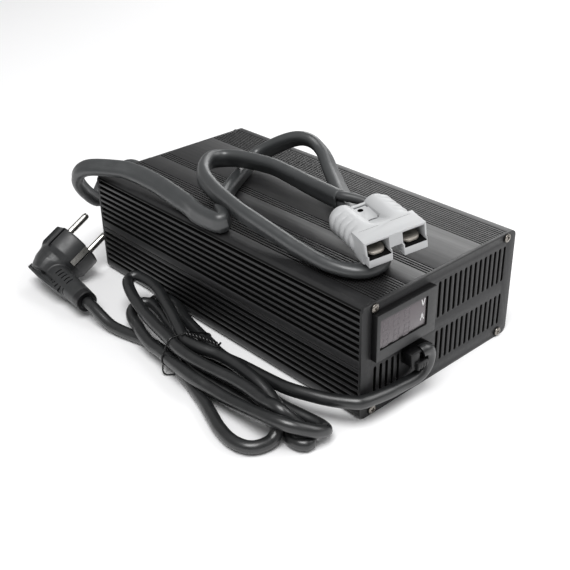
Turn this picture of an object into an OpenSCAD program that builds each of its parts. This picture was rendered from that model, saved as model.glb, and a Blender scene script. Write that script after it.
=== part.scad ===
// Lithium battery charger in an extruded aluminium case.
// Millimetres, +Z up. The front panel with the meter looks towards -Y.
// Origin: centre of the case's footprint, on the surface it stands on.

/* [Case] */
// Width of the case, across the front panel
case_w = 132; // [120:1:140]
// Length of the case over both end panels
case_l = 247; // [235:1:260]
// Height of the case
case_h = 71; // [68:1:76]
// Thickness of each end panel
panel_t = 2; // [1.5:0.5:3]
// Radius of the case's long outer edges
edge_r = 4; // [2:0.5:4.5]
// Wall thickness of the shells behind the fins
wall_t = 2.2; // [1.8:0.2:2.6]
// Depth of the grooves between the side fins
fin_d = 2.6; // [1:0.2:3]

/* [Front panel] */
// Width of a ventilation slot
slot_w = 1.9; // [1.2:0.1:2.6]
// Distance from slot to slot
slot_pitch = 4.58; // [4:0.02:4.6]
// Number of slots in each right-hand row
slot_n = 14; // [6:1:14]
// Width of the meter's bezel
meter_w = 48; // [46:0.5:50]
// Height of the meter's bezel
meter_h = 29; // [28:0.5:30]
// How far the meter's bezel stands out of the panel
meter_out = 4.2; // [3:0.1:7]

/* [Cords] */
// Diameter of the mains cord
mains_d = 7.5; // [6.5:0.5:8.5]
// Wide side of the oval output lead
lead_w = 12.5; // [11:0.5:15]
// Narrow side of the oval output lead
lead_d = 8.5; // [8:0.5:10.5]

/* [Cooling fan] */
// Outer side of the square fan
fan_s = 60; // [58:1:60]
// Depth of the fan
fan_t = 15; // [13:1:16]
// Number of fan blades
fan_blades = 7; // [5:2:11]

/* [Hidden] */
$fn = 48;

e = 0.01;
W2 = case_w / 2;
L2 = case_l / 2;
yf = -L2 + panel_t;          // front end of the extrusions
yr = L2 - panel_t;           // rear end of the extrusions
seam_z = 33;                 // where the two shells meet
in_x = W2 - fin_d - wall_t;  // inner face of the side walls
scr_x = W2 - 9;
scr_z0 = 3.6;
scr_z1 = case_h - 2.9;
// heights of the lower edge of each side groove
grooves_up = [for (k = [0:7]) 65.9 - 3.97 * k];
grooves_lo = [for (k = [0:5]) 27.6 - 4.1 * k];
// centres of the fine grooves along the top
top_fine = concat([for (k = [0:11]) -30.4 - 2.14 * k], [for (k = [0:3]) -13.4 + 2.13 * k], [for (k = [0:11]) 35.2 + 2.06 * k]);

meter_x = -35; meter_z = 50.85;
bush_x = -25.5; bush_z = 26.5;
out_x = -20; out_z = 57;
fan_x = 25; fan_z = 35.5; fan_y1 = yr; fan_y0 = yr - fan_t;
pcb_z = 10; pcb_t = 1.6; pz = pcb_z + pcb_t;

// places of the plug and the battery connector, where they lie
plug_at = [-83.7, 129.5, 23.2]; plug_rot = [57, 55, -38];
plug_neck = [0.28, -0.10, 0.95];
con_at = [-14, -71, 85.3]; con_rot = [-2, 9, 160];

// route of the output lead, from its bushing to the end of its jacket
lead_pts = [[-20,134,57],[-23,149,57],[-39,156.5,48.5],[-53.5,147,42.5],[-66,143,54.5],[-73,136.5,68],
  [-71,124.5,77.5],[-60.5,102.5,80],[-56.5,89.5,79.5],[-56,68.5,79],[-57,54.5,78.5],[-59.5,28.5,77],
  [-63.5,13.5,77.5],[-63,-5,78],[-58,-4,78.5],[-49.5,9.5,77.5],[-38.5,19.5,79.5],[-19.5,34,77.5],[-1,45.5,77.5],
  [18,53,81],[31.5,35.5,93],[36.5,22,95.5],[36.5,9,90.5],[28,-7.5,84],[17.5,-26.5,79],[10,-40.5,77.5],
  [2,-54.5,77.5],[-3,-65,75.5],[-10.5,-78,75.5],[-19,-92,75.5],[-31,-101.5,75.5],[-43.5,-100,75.5],[-51,-86,76],
  [-53,-63,78],[-53.5,-51,80],[-54,-24.5,84],[-53,-10.5,85.5],[-48,16.5,87],[-40.5,37,89.5],[-26,50,90.5],
  [-14,48.5,89.5],[-8,35.5,90.5],[-5.5,12.5,92],[-5.5,-2,91.5],[-9,-31,91.5],[-14,-56.5,93.5]];
// the way that the wide side of the lead's oval section points at each of them
lead_wide = [[-0.3,-0.1,0.9],[-0.5,-0.1,0.9],[-0.5,-0.1,0.9],[0,0.7,0.7],[0.4,0.7,0.6],[0.5,0.6,0.6],
  [0.7,0.5,0.5],[0.8,0.3,0.5],[0.8,0.1,0.6],[0.8,0,0.7],[0.7,-0.1,0.7],[0.4,-0.1,0.9],[0.2,0,1],[0,0.1,1],
  [-0.1,0.1,1],[-0.1,0,1],[0,0,1],[0.1,-0.1,1],[0,-0.1,1],[-0.4,-0.1,0.9],[-0.7,0,0.7],[-0.7,-0.2,0.7],
  [-0.7,0,0.7],[-0.8,0.2,0.6],[-0.8,0.3,0.5],[-0.8,0.4,0.5],[-0.9,0.4,0.3],[-0.9,0.5,0.1],[-0.9,0.5,0],
  [-0.7,0.7,-0.1],[-0.3,0.9,-0.1],[0.6,0.8,-0.2],[0.8,0.2,-0.6],[0.5,0.1,-0.8],[0.5,0.1,-0.9],[0.3,0.1,-0.9],
  [0.3,0,-1],[-0.1,0.1,-1],[-0.2,0.2,-1],[-0.1,0.2,-1],[0.2,0.2,-0.9],[0.4,0,-0.9],[0.4,0,-0.9],[0.3,0,-1],
  [0.1,-0.1,-1],[0.1,-0.1,-1]];
// routes of the mains cord: bushing to hank, the loop that hangs out of the hank, hank to plug
cord_pts = [[-24.5,-129.8,29.3],[-21.5,-130.5,30],[-18.5,-130.5,27.5],[-17.6,-130,21.5],[-20.5,-129.5,15.5],
  [-26.5,-129,12.5],[-38,-128,12],[-50.5,-128.5,13.5],[-67.5,-127,15.5],[-72,-123,15.5],
  [-78,-113,15],[-83,-102,15],[-86.5,-90.5,14.5],[-87,-79,13],[-87.5,-53.5,11]];
loop_pts = [[-103.5,-100,10],[-108,-104,9],[-111,-106,6.5],[-115,-106.5,4.5],[-120,-106,4],[-125,-104,4],
  [-128.5,-99.5,4],[-130,-91,4],[-128,-79,4],[-124,-67.5,4],[-120,-56.5,4]];
tail_pts = [[-105.5,14,4],[-107,25.5,4],[-110,37,4],[-112.1,48.3,4.8],[-113,57.9,8.1],[-113.2,66.6,11],[-113.1,73.6,11.8]];
// outline of the tied hank, rear end first, and of its highest loop
hank_outline = [[-78,68],[-68,58],[-66.8,50],[-66.6,36],[-69,24],[-73.5,12],[-77.5,-4],[-81.5,-22],[-84,-38],[-83.8,-54],
  [-87.4,-76],[-86.5,-90],[-84,-106],[-84,-117],[-92,-125.3],[-103,-126.5],[-111.2,-118.7],[-116.6,-111],[-117,-90],
  [-117.2,-70],[-119,-54],[-121,-43],[-119,-28],[-117.5,-13],[-115,3],[-113.5,18],[-110,32],[-105.5,46],[-97,56],[-90,64]];
hank_top = [[-90,4],[-102,10],[-104.5,22],[-101,40],[-95,52],[-90.3,62],[-78,68],[-73.8,58],[-75.5,40],[-79,20],[-84,5]];

// ---------- helpers ----------
// a flat shape drawn in X and Z, made solid from y0 to y1
module ext(y0, y1) { translate([0, y1, 0]) rotate([90, 0, 0]) linear_extrude(y1 - y0) children(); }
module rr(w, h, r) {
  square([w - 2 * r, h], center = true);
  square([w, h - 2 * r], center = true);
  for (x = [-1, 1], y = [-1, 1]) translate([x * (w / 2 - r), y * (h / 2 - r)]) circle(r);
}
module slot(x, z0, z1, w = slot_w) {
  translate([x - w / 2, z0 + w / 2]) square([w, z1 - z0 - w]);
  for (z = [z0 + w / 2, z1 - w / 2]) translate([x, z]) circle(w / 2, $fn = 24);
}
module yc(x, z, r, y0, y1) { translate([x, y1, z]) rotate([90, 0, 0]) cylinder(h = y1 - y0, r = r); }
function unit(v) = v / norm(v);
function tan_at(p, i) = unit(p[min(i + 1, len(p) - 1)] - p[max(i - 1, 0)]);
function flat_to(r, t) = unit(r - (r * t) * t);
// a round tube swept along its points, with the first ring facing t0 and the last facing t1
module tube(p, d, sides = 8, t0 = undef, t1 = undef) {
  n = len(p);
  t = [for (i = [0:n - 1]) (i == 0 && !is_undef(t0)) ? unit(t0) : (i == n - 1 && !is_undef(t1)) ? unit(t1) : tan_at(p, i)];
  s0 = flat_to(abs(t[0][2]) > 0.8 ? [1, 0.2, 0] : [0, 0.1, 1], t[0]);
  r = [for (i = 0, v = s0; i < n; i = i + 1, v = i < n ? flat_to(v, t[i]) : v) v];
  pts = [for (i = [0:n - 1], k = [0:sides - 1])
    p[i] + d / 2 * (cos(360 * k / sides) * r[i] + sin(360 * k / sides) * cross(t[i], r[i]))];
  sidef = [for (i = [0:n - 2], k = [0:sides - 1]) let (a = i * sides + k, b = i * sides + (k + 1) % sides)
    each [[a, a + sides, b], [b, a + sides, b + sides]]];
  polyhedron(pts, concat(sidef, [[for (k = [0:sides - 1]) k]], [[for (k = [sides - 1:-1:0]) (n - 1) * sides + k]]));
}

// an oval tube, wide across w and b high, with its wide side along the axis given at each point
module oval_tube(p, wide, w, b, sides = 12) {
  n = len(p);
  t = [for (i = [0:n - 1]) tan_at(p, i)];
  u = [for (i = [0:n - 1]) flat_to(wide[i], t[i])];
  pts = [for (i = [0:n - 1], k = [0:sides - 1])
    p[i] + w / 2 * cos(360 * k / sides) * u[i] + b / 2 * sin(360 * k / sides) * cross(t[i], u[i])];
  sidef = [for (i = [0:n - 2], k = [0:sides - 1]) let (a = i * sides + k, b = i * sides + (k + 1) % sides)
    each [[a, a + sides, b], [b, a + sides, b + sides]]];
  polyhedron(pts, concat(sidef, [[for (k = [0:sides - 1]) k]], [[for (k = [sides - 1:-1:0]) (n - 1) * sides + k]]));
}

// ---------- case ----------
module side_grooves(list) {
  for (s = [-1, 1], z = list)
    scale([s, 1]) polygon([[W2 - fin_d, z], [W2 - 0.3, z], [W2 + 0.5, z - 0.8], [W2 + 0.5, z + 3.1], [W2 - 0.3, z + 2.3], [W2 - fin_d, z + 2.3]]);
}
module outer2d() { translate([0, case_h / 2]) rr(case_w, case_h, edge_r); }
module upper_shell() color([0.09, 0.09, 0.095]) ext(yf, yr) {
  difference() {
    union() {
      difference() {
        intersection() { outer2d(); translate([-W2 - 1, seam_z]) square([case_w + 2, case_h]); }
        translate([-in_x, 0]) square([2 * in_x, case_h - wall_t]);
      }
      intersection() { outer2d(); for (s = [-1, 1]) translate([s * scr_x, scr_z1]) circle(3.3); }
      for (s = [-1, 1]) {
        translate([s > 0 ? in_x - 4.6 : -in_x, scr_z1 - 1]) square([4.6, 2]);
        // the tongue that laps behind the lower shell's edge
        translate([s > 0 ? in_x : -in_x - 1.1, seam_z - 2]) square([1.1, 2.5]);
      }
    }
    side_grooves(grooves_up);
    for (x = top_fine) translate([x - 0.45, case_h - 0.8]) square([0.9, 2]);
    for (s = [-1, 1]) translate([s * scr_x, scr_z1]) circle(1.5);
  }
}
module lower_shell() color([0.09, 0.09, 0.095]) ext(yf, yr) {
  difference() {
    union() {
      difference() {
        intersection() { outer2d(); translate([-W2 - 1, -1]) square([case_w + 2, seam_z + 1]); }
        translate([-in_x, wall_t]) square([2 * in_x, case_h]);
      }
      intersection() { outer2d(); for (s = [-1, 1]) translate([s * scr_x, scr_z0]) circle(3.3); }
      for (s = [-1, 1]) {
        translate([s > 0 ? in_x - 4.6 : -in_x, scr_z0 - 1.6]) square([4.6, 2.6]);
        // two ribs hold the edge of the circuit board
        for (z = [pcb_z - 1.5, pz + 0.1]) translate([s > 0 ? in_x - 2 : -in_x, z]) square([2, 1.5]);
      }
    }
    side_grooves(grooves_lo);
    for (s = [-1, 1]) {
      translate([s * scr_x, scr_z0]) circle(1.5);
      translate([s > 0 ? in_x - 0.5 : -in_x - 1.2, seam_z - 2]) square([1.7, 3]);
      // a fine line where the shells meet
      translate([s > 0 ? W2 - 0.5 : -W2 - 0.5, seam_z - 0.5]) square([1, 1]);
    }
  }
}
module panel2d() {
  difference() {
    outer2d();
    for (s = [-1, 1], z = [scr_z0, scr_z1]) translate([s * scr_x, z]) circle(1.7);
    children();
  }
}
slot_x0 = 56.2 - slot_pitch * (slot_n - 1);
module front_panel() color([0.17, 0.17, 0.175]) ext(-L2, yf)
  panel2d() {
    translate([meter_x, meter_z]) square([45.4, 26.4], center = true);
    for (k = [0:slot_n - 1]) { slot(slot_x0 + slot_pitch * k, 39.1, 62.6); slot(slot_x0 + slot_pitch * k, 9.1, 30.6); }
    for (k = [0:4]) slot(-55 + 4.75 * k, 9.1, 30.6);
    translate([bush_x, bush_z]) circle(7);
  }
module rear_panel() color([0.17, 0.17, 0.175]) ext(yr, L2)
  panel2d() {
    for (k = [-5:5]) let (h = sqrt(27 * 27 - pow(4.8 * k, 2))) slot(fan_x + 4.8 * k, fan_z - h, fan_z + h, 2.8);
    for (a = [-1, 1], b = [-1, 1]) translate([fan_x + a * 25, fan_z + b * 25]) circle(2.15);
    translate([out_x, out_z]) circle(7.5);
    for (k = [0:7]) slot(-55 + 4.75 * k, 9.1, 36);
  }
// one pan-head screw with a cross recess; its head rests on y = 0 and its shank points to +Y
module screw(head_d, head_h, d, l) {
  difference() {
    union() {
      translate([0, 0, 0]) rotate([90, 0, 0]) cylinder(h = head_h * 0.55, d = head_d);
      translate([0, -head_h * 0.55, 0]) rotate([90, 0, 0]) cylinder(h = head_h * 0.45, d1 = head_d, d2 = head_d * 0.66, $fn = 32);
    }
    for (a = [0, 90]) rotate([0, a + 20, 0]) translate([-head_d * 0.27, -head_h - e, -0.45]) cube([head_d * 0.54, head_h * 0.6, 0.9]);
  }
  rotate([-90, 0, 0]) cylinder(h = l, d = d);
}
module front_screws() color([0.72, 0.68, 0.62])
  for (s = [-1, 1], z = [scr_z0, scr_z1]) translate([s * scr_x, -L2, z]) screw(5.4, 1.4, 2.9, 12);
module rear_screws() color([0.72, 0.68, 0.62])
  for (s = [-1, 1], z = [scr_z0, scr_z1]) translate([s * scr_x, L2, z]) rotate([0, 0, 180]) screw(5.4, 1.4, 2.9, 12);

// ---------- panel meter ----------
module meter_bezel() color([0.05, 0.05, 0.055]) difference() {
  union() {
    ext(-L2 - meter_out, -L2) translate([meter_x, meter_z]) rr(meter_w, meter_h, 1);
    ext(-L2, -L2 + 15) translate([meter_x, meter_z]) square([45, 26], center = true);
  }
  ext(-L2 - meter_out - 1, -L2 - meter_out + 1.4) translate([meter_x - 2.4, meter_z + 1.6]) rr(38, 18.4, 0.8);
  ext(-L2 - meter_out - 1, -L2 - 1) translate([meter_x - 2.4, meter_z + 1.6]) square([36.6, 17], center = true);
  ext(-L2 - 1 - e, -L2 + 16) translate([meter_x, meter_z]) square([42, 23], center = true);
}
module meter_window() color([0.25, 0.12, 0.18, 0.8]) ext(-L2 - meter_out + 0.2, -L2 - meter_out + 1.4)
  translate([meter_x - 2.4, meter_z + 1.6]) rr(37.9, 18.3, 0.8);
module meter_display() color([0.2, 0.17, 0.19]) ext(-L2 - meter_out + 1.6, -L2 + 8)
  translate([meter_x - 2.4, meter_z + 1.6]) square([35.6, 16.4], center = true);
module meter_board() color([0.05, 0.25, 0.12]) {
  ext(-L2 + 8, -L2 + 9.6) translate([meter_x, meter_z]) square([41.6, 22.6], center = true);
  ext(-L2 + 9.6, -L2 + 18) translate([meter_x + 12, meter_z]) square([6, 12], center = true);
  ext(-L2 + 9.6, -L2 + 11.4) translate([meter_x - 8, meter_z]) square([10, 8], center = true);
}

// ---------- cord bushings ----------
module mains_bushing() color([0.05, 0.05, 0.05]) {
  difference() {
    ext(-L2 - 8, -L2) polygon([[-34.5, 31.8], [-16.4, 31.8], [-15.4, 29], [-15.4, 24], [-18, 21], [-30, 21], [-33.6, 23.3]]);
    // the side that the cord leaves through
    translate([-21.3, -L2 - 9, 20]) cube([8, 6.3, 13]);
    translate([-26, -L2 - 9, 25.5]) cube([8, 6.3, 8]);
  }
  // lower jaw, which the cord bends around
  ext(-L2 - 10, -L2 - 1) polygon([[-31, 21.2], [-22, 21.2], [-21.3, 24], [-24, 25.8], [-30.5, 25.4]]);
  yc(bush_x, bush_z, 6.9, -L2, yf + 3);
  ext(yf, yf + 3) translate([bush_x, bush_z]) rr(17, 13, 2);
}
module output_bushing() color([0.05, 0.05, 0.05]) {
  ext(L2, L2 + 10.5) translate([out_x, out_z]) polygon([[-10.5, -4], [-6, -9.5], [6, -9.5], [10.5, -4], [10.5, 4], [6, 9.5], [-6, 9.5], [-10.5, 4]]);
  yc(out_x, out_z, 7.4, yr - 3, L2);
  ext(yr - 3, yr) translate([out_x, out_z]) rr(18, 14, 2);
}

// ---------- mains cord and plug ----------
module mains_cord() color([0.12, 0.12, 0.12]) tube(cord_pts, mains_d, t0 = [0, -1, 0]);
module mains_cord_loop() color([0.12, 0.12, 0.12]) tube(loop_pts, mains_d);
module mains_cord_end() color([0.12, 0.12, 0.12]) tube(tail_pts, mains_d, t1 = [0.153, 0.987, 0.02] * -1 * -1);
// outer shape of the tied hank that lies beside the case
module mains_cord_hank() color([0.12, 0.12, 0.12]) {
  linear_extrude(20.6) {
    polygon(hank_outline);
    translate([-82, 60.4]) circle(8.7);
    translate([-74.4, 52.2]) circle(7.7);
    translate([-91.5, -117.7]) circle(7.5);
    translate([-103.2, -118.6]) circle(8.1);
    translate([-109, -109.3]) circle(8);
  }
  linear_extrude(25) {
    polygon(hank_top);
    translate([-82, 60.4]) circle(8.4);
  }
}
module twist_tie() color([0.04, 0.04, 0.04]) {
  difference() {
    translate([-118, -13.4, 0.1]) cube([39.6, 2.6, 22.6]);
    translate([-117, -15, 1.1]) cube([37.6, 6, 20.6]);
  }
  translate([-99.5, -12.5, 21.2]) rotate([0, 0, -162]) translate([-0.8, 0, 0]) cube([1.6, 26, 1.6]);
}
module plug_frame() { translate(plug_at) rotate(plug_rot) children(); }
module plug_body() color([0.2, 0.2, 0.205]) plug_frame() difference() {
  union() {
    rotate([90, 0, 0]) cylinder(h = 14.5, r = 18.3);
    hull() {
      translate([0, -14.4, 0]) rotate([90, 0, 0]) cylinder(h = 0.1, r = 18.3, $fn = 32);
      translate([0, -18.9, 0]) rotate([90, 0, 0]) cylinder(h = 0.1, r = 16.2, $fn = 32);
      translate([1, -28, 6]) scale([1, 0.75, 1]) sphere(8.2, $fn = 24);
      translate([-6, -26, 2]) sphere(8, $fn = 24);
    }
    hull() {
      translate([1, -24, 8]) sphere(9, $fn = 24);
      translate([0, -26, 0] + plug_neck * 34) sphere(7.3, $fn = 24);
    }
    translate([0, -26, 0] + plug_neck * 30) rotate([-6, atan2(plug_neck[0], plug_neck[2]), 0]) cylinder(h = 26, r1 = 7.4, r2 = 6.7);
  }
  // recesses for the earth contacts, and a flat guide face on both sides
  for (s = [-1, 1]) {
    translate([s * 2.6, -6, s * 17.2]) cube([5.2, 20, 4.4], center = true);
    translate([s * 18.1, -7.5, 0]) cube([5, 20, 14], center = true);
  }
  // the socket for an earth pin in the face
  translate([5.5, 1, 0]) translate([-5.5, 0, 7]) rotate([90, 0, 0]) cylinder(h = 14, r = 2.5);
}
module plug_pins() color([0.8, 0.8, 0.78]) plug_frame() for (s = [-1, 1]) translate([s * 9.5, 0, 0]) {
  rotate([-90, 0, 0]) cylinder(h = 17.6, r = 2.4);
  translate([0, 17.6, 0]) rotate([-90, 0, 0]) cylinder(h = 1.4, r1 = 2.4, r2 = 1.4, $fn = 32);
}
module plug_earth_clips() color([0.6, 0.6, 0.58]) plug_frame() for (s = [-1, 1])
  translate([s * 2.6, -8, s * 15.5]) cube([4, 15, 1], center = true);

// ---------- output lead and battery connector ----------
module output_lead() color([0.15, 0.15, 0.15]) oval_tube(lead_pts, lead_wide, lead_w, lead_d);
module con_frame() { translate(con_at) rotate(con_rot) children(); }
module output_conductors() color([0.1, 0.1, 0.1]) for (s = [-1, 1])
  tube(s > 0 ? [[-13.8, -56.9, 90.9], [-14.6, -59, 90.6], [-18, -63, 90.2], [-22.6, -66.4, 90], [-25.2, -70.5, 90], [-27, -75, 90.1]]
    : [[-14.2, -56.5, 96.5], [-13.4, -59.5, 96.6], [-10.5, -65, 96], [-7.5, -70, 94.6], [-6.4, -75.5, 93.6], [-8, -81, 93.3]], 5.4);
// mouth towards +y, flat side down, 36.6 wide, 47.6 long and 15.9 high
module connector_shell() color([0.86, 0.87, 0.88]) con_frame() difference() {
  union() {
    // two wire barrels that rise a little towards the front
    for (s = [-1, 1]) translate([s * 10.2, -0.6, 6.4]) rotate([-87.5, 0, 0]) cylinder(h = 34.5, r = 7.9);
    // the web with its step at the rear
    translate([-6, 2, 1.5]) cube([12, 20, 8]);
    translate([-5.2, 1, 4]) cube([10.4, 2.4, 7.2]);
    // five ribs for the fingers along both flanks
    for (s = [-1, 1], k = [0:4]) intersection() {
      translate([s * 10.3, 3.8 + 6.05 * k, 6.6 + 0.26 * k]) rotate([-90, 0, 0]) cylinder(h = 3.6, r = 8.9);
      translate([s > 0 ? 12 : -22, 2, -1.2]) cube([10, 34, 13]);
    }
    // flat top between the barrels
    translate([-10, 19.5, 4]) cube([20, 14, 11.3]);
    // the wide front body with its hood
    translate([-18.3, 31, 0.3]) cube([36.6, 11, 15.3]);
    translate([-18.3, 41, 7.2]) cube([36.6, 5, 8.4]);
    // two lower lips
    for (s = [-1, 1]) translate([s > 0 ? 3.4 : -17.6, 41, 0.8]) cube([14.2, 6.6, 6.8]);
  }
  // the two sockets
  for (s = [-1, 1]) translate([s * 10.6 - 6.6, 31.5, 5.2]) cube([13.2, 20, 9.2]);
  // wire bores
  for (s = [-1, 1]) translate([s * 10.2, -2, 6.8]) rotate([-88, 0, 0]) cylinder(h = 25.5, r = 5.2);
  // slots that hold the contacts
  for (s = [-1, 1]) translate([s * 10.4 - 5.2, 20, 5.7]) cube([10.4, 12, 4]);
  // clearance between the lips
  translate([-3.4, 36, -1]) cube([6.8, 20, 8.8]);
  // screw hole through the web
  translate([0, 5.6, -1]) cylinder(h = 20, r = 1.7);
}
module connector_contacts() color([0.75, 0.72, 0.66]) con_frame() for (s = [-1, 1]) {
  translate([s * 10.4 - 4.9, 20.2, 6.6]) cube([9.8, 19.4, 1.7]);
  translate([s * 10.4, 39.6, 6.6]) cylinder(h = 1.7, r = 4.9);
  translate([s * 10.2, 22.2, 7.6]) rotate([90, 0, 0]) cylinder(h = 12, r = 4.2);
}
module connector_springs() color([0.7, 0.7, 0.7]) con_frame() for (s = [-1, 1])
  translate([s * 10.4 - 3, 31.8, 5.25]) cube([6, 10.6, 0.6]);

// ---------- electronics ----------
module main_board() color([0.1, 0.3, 0.14]) translate([-in_x + 0.3, yf + 4, pcb_z]) cube([2 * in_x - 0.6, case_l - 2 * panel_t - 8 - fan_t, pcb_t]);
module insulating_sheet() color([0.85, 0.83, 0.7]) translate([-in_x + 8, yf + 4, wall_t]) cube([2 * in_x - 16, case_l - 30, 0.4]);
module fuse() color([0.8, 0.78, 0.7]) translate([-48, -98, pz]) {
  for (s = [-1, 1]) translate([0, s * 8.5, 3.2]) cube([6, 4, 6.4], center = true);
  translate([0, -8, 4]) rotate([-90, 0, 0]) cylinder(h = 16, r = 2.4);
}
module emi_choke_core() color([0.2, 0.22, 0.2]) translate([-40, -70, pz + 16]) rotate([90, 0, 0])
  rotate_extrude() translate([8.5, -5]) square([6, 10]);
module emi_choke_winding() color([0.72, 0.4, 0.15]) translate([-40, -70, pz + 16]) rotate([90, 0, 0])
  for (s = [0, 180]) rotate([0, 0, s - 52]) difference() {
    rotate_extrude(angle = 104) translate([6.9, -6.6]) square([9.2, 13.2]);
    rotate_extrude() translate([8.5, -5]) square([6, 10]);
  }
module filter_capacitors() color([0.85, 0.7, 0.1])
  for (p = [[-8, -98], [-8, -76]]) translate([p[0], p[1], pz]) translate([-9, -5, 0]) cube([18, 10, 16]);
module bridge_rectifier() color([0.1, 0.1, 0.1]) translate([22, -92, pz + 3]) cube([22, 4.6, 17]);
module bulk_capacitors() color([0.12, 0.15, 0.3]) for (y = [-36, -1]) translate([-41, y, pz]) cylinder(h = 42, r = 15.5);
module primary_heatsink() color([0.75, 0.76, 0.78]) difference() {
  union() {
    translate([52, -74, pz]) cube([3.5, 110, 40]);
    translate([36, -74, pz + 36.5]) cube([17, 110, 3.5]);
  }
  for (k = [0:3]) translate([40, -60 + 24 * k, pz + 16]) rotate([0, 90, 0]) cylinder(h = 30, r = 1.6);
}
module primary_transistors() color([0.07, 0.07, 0.07]) for (k = [0:3])
  translate([47.2, -60 + 24 * k - 7.8, pz + 3]) difference() {
    cube([4.8, 15.6, 20]);
    translate([-1, 7.8, 13]) rotate([0, 90, 0]) cylinder(h = 10, r = 1.6);
  }
module transformer_core() color([0.16, 0.16, 0.17]) translate([8, 0, pz + 2]) difference() {
  translate([-25, -22, 0]) cube([50, 44, 36]);
  translate([-26, -14.5, 8]) cube([52, 8.4, 20]);
  translate([-26, 6.1, 8]) cube([52, 8.4, 20]);
}
module transformer_winding() color([0.86, 0.72, 0.2]) translate([8, 0, pz + 2]) {
  for (s = [-1, 1]) translate([-24.6, s * 10.3 - 4, 8.2]) cube([49.2, 8, 19.6]);
  for (x = [-28.8, 25.2]) translate([x, -14.2, 8.2]) cube([3.6, 28.4, 19.6]);
  for (x = [-28.8, 25.2]) translate([x, -14.2, -2]) cube([3.6, 28.4, 10.2]);
}
module output_choke_core() color([0.75, 0.72, 0.2]) translate([12, 52, pz + 19]) rotate([90, 0, 0])
  rotate_extrude() translate([9, -7]) square([8, 14]);
module output_choke_winding() color([0.7, 0.38, 0.14]) translate([12, 52, pz + 19]) rotate([90, 0, 0]) difference() {
  rotate([0, 0, -60]) rotate_extrude(angle = 300) translate([7, -9]) square([12, 18]);
  rotate_extrude() translate([9, -7]) square([8, 14]);
}
module output_heatsink() color([0.75, 0.76, 0.78]) difference() {
  union() {
    translate([-55.5, 24, pz]) cube([3.5, 80, 36]);
    translate([-53, 24, pz + 32.5]) cube([14, 80, 3.5]);
  }
  for (k = [0:2]) translate([-60, 38 + 24 * k, pz + 16]) rotate([0, 90, 0]) cylinder(h = 12, r = 1.6);
}
module output_diodes() color([0.07, 0.07, 0.07]) for (k = [0:2])
  translate([-52, 38 + 24 * k - 7.8, pz + 3]) difference() {
    cube([4.8, 15.6, 20]);
    translate([-1, 7.8, 13]) rotate([0, 90, 0]) cylinder(h = 10, r = 1.6);
  }
module output_capacitors() color([0.1, 0.1, 0.12]) for (p = [[-34, 64], [-16, 64], [-34, 83], [-16, 83]]) translate([p[0], p[1], pz]) cylinder(h = 31, r = 8);
module relay() color([0.1, 0.25, 0.6]) translate([6, 84, pz]) cube([28, 12.5, 15]);
module control_board() color([0.08, 0.3, 0.15]) {
  translate([16, -66, pz]) cube([1.6, 38, 26]);
  translate([17.6, -58, pz + 8]) cube([1.8, 10, 10]);
}
// short inner leads between the bushings and the circuit board
module mains_inner_lead() color([0.12, 0.12, 0.12])
  tube([[-22, -118.5, 27], [-22, -113, 26], [-22, -108, 21], [-22, -106, 15], [-22, -106, pz]], 6.5, t0 = [0, 1, 0], t1 = [0, 0, -1]);
module output_inner_lead() color([0.5, 0.05, 0.05])
  tube([[-20, 118.5, 57], [-20, 112, 56], [-20, 106, 48], [-20, 103, 34], [-20, 102, 20], [-20, 102, pz]], 8, t0 = [0, -1, 0], t1 = [0, 0, -1]);

// ---------- cooling fan ----------
module fan_frame() color([0.06, 0.06, 0.06]) {
  difference() {
    ext(fan_y0, fan_y1) translate([fan_x, fan_z]) rr(fan_s, fan_s, 3);
    yc(fan_x, fan_z, 28.4, fan_y0 - 1, fan_y1 + 1);
    for (a = [-1, 1], b = [-1, 1]) yc(fan_x + a * 25, fan_z + b * 25, 2.2, fan_y0 - 1, fan_y1 + 1);
  }
  difference() {
    union() {
      for (a = [30, 150, 270]) translate([fan_x, 0, fan_z]) rotate([0, a, 0]) translate([10, fan_y0, -1.5]) cube([19.5, 1.6, 3]);
      yc(fan_x, fan_z, 14, fan_y0, fan_y0 + 1.6);
      yc(fan_x, fan_z, 3.4, fan_y0, fan_y0 + 9);
    }
    yc(fan_x, fan_z, 1.54, fan_y0 - 1, fan_y0 + 10);
  }
}
module fan_rotor() color([0.08, 0.08, 0.08]) difference() {
  union() {
    yc(fan_x, fan_z, 16, fan_y0 + 2.6, fan_y1 - 1.6);
    intersection() {
      for (k = [0:fan_blades - 1]) translate([fan_x, fan_y0 + 8, fan_z]) rotate([0, 360 / fan_blades * k, 0])
        translate([21.5, 0, 0]) rotate([40, 0, 0]) cube([13.6, 11, 1.3], center = true);
      yc(fan_x, fan_z, 27.4, fan_y0 + 2.4, fan_y1 - 1.2);
    }
  }
  yc(fan_x, fan_z, 14.4, fan_y0 + 2, fan_y1 - 3.6);
  yc(fan_x, fan_z, 1.5, fan_y0 + 2, fan_y1 - 2.4);
}
module fan_shaft() color([0.7, 0.7, 0.72]) yc(fan_x, fan_z, 1.5, fan_y0 + 0.6, fan_y1 - 2.4);
module fan_screws() color([0.3, 0.3, 0.3]) for (a = [-1, 1], b = [-1, 1])
  translate([fan_x + a * 25, L2, fan_z + b * 25]) rotate([0, 0, 180]) screw(7, 2.6, 4, 12);

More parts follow.
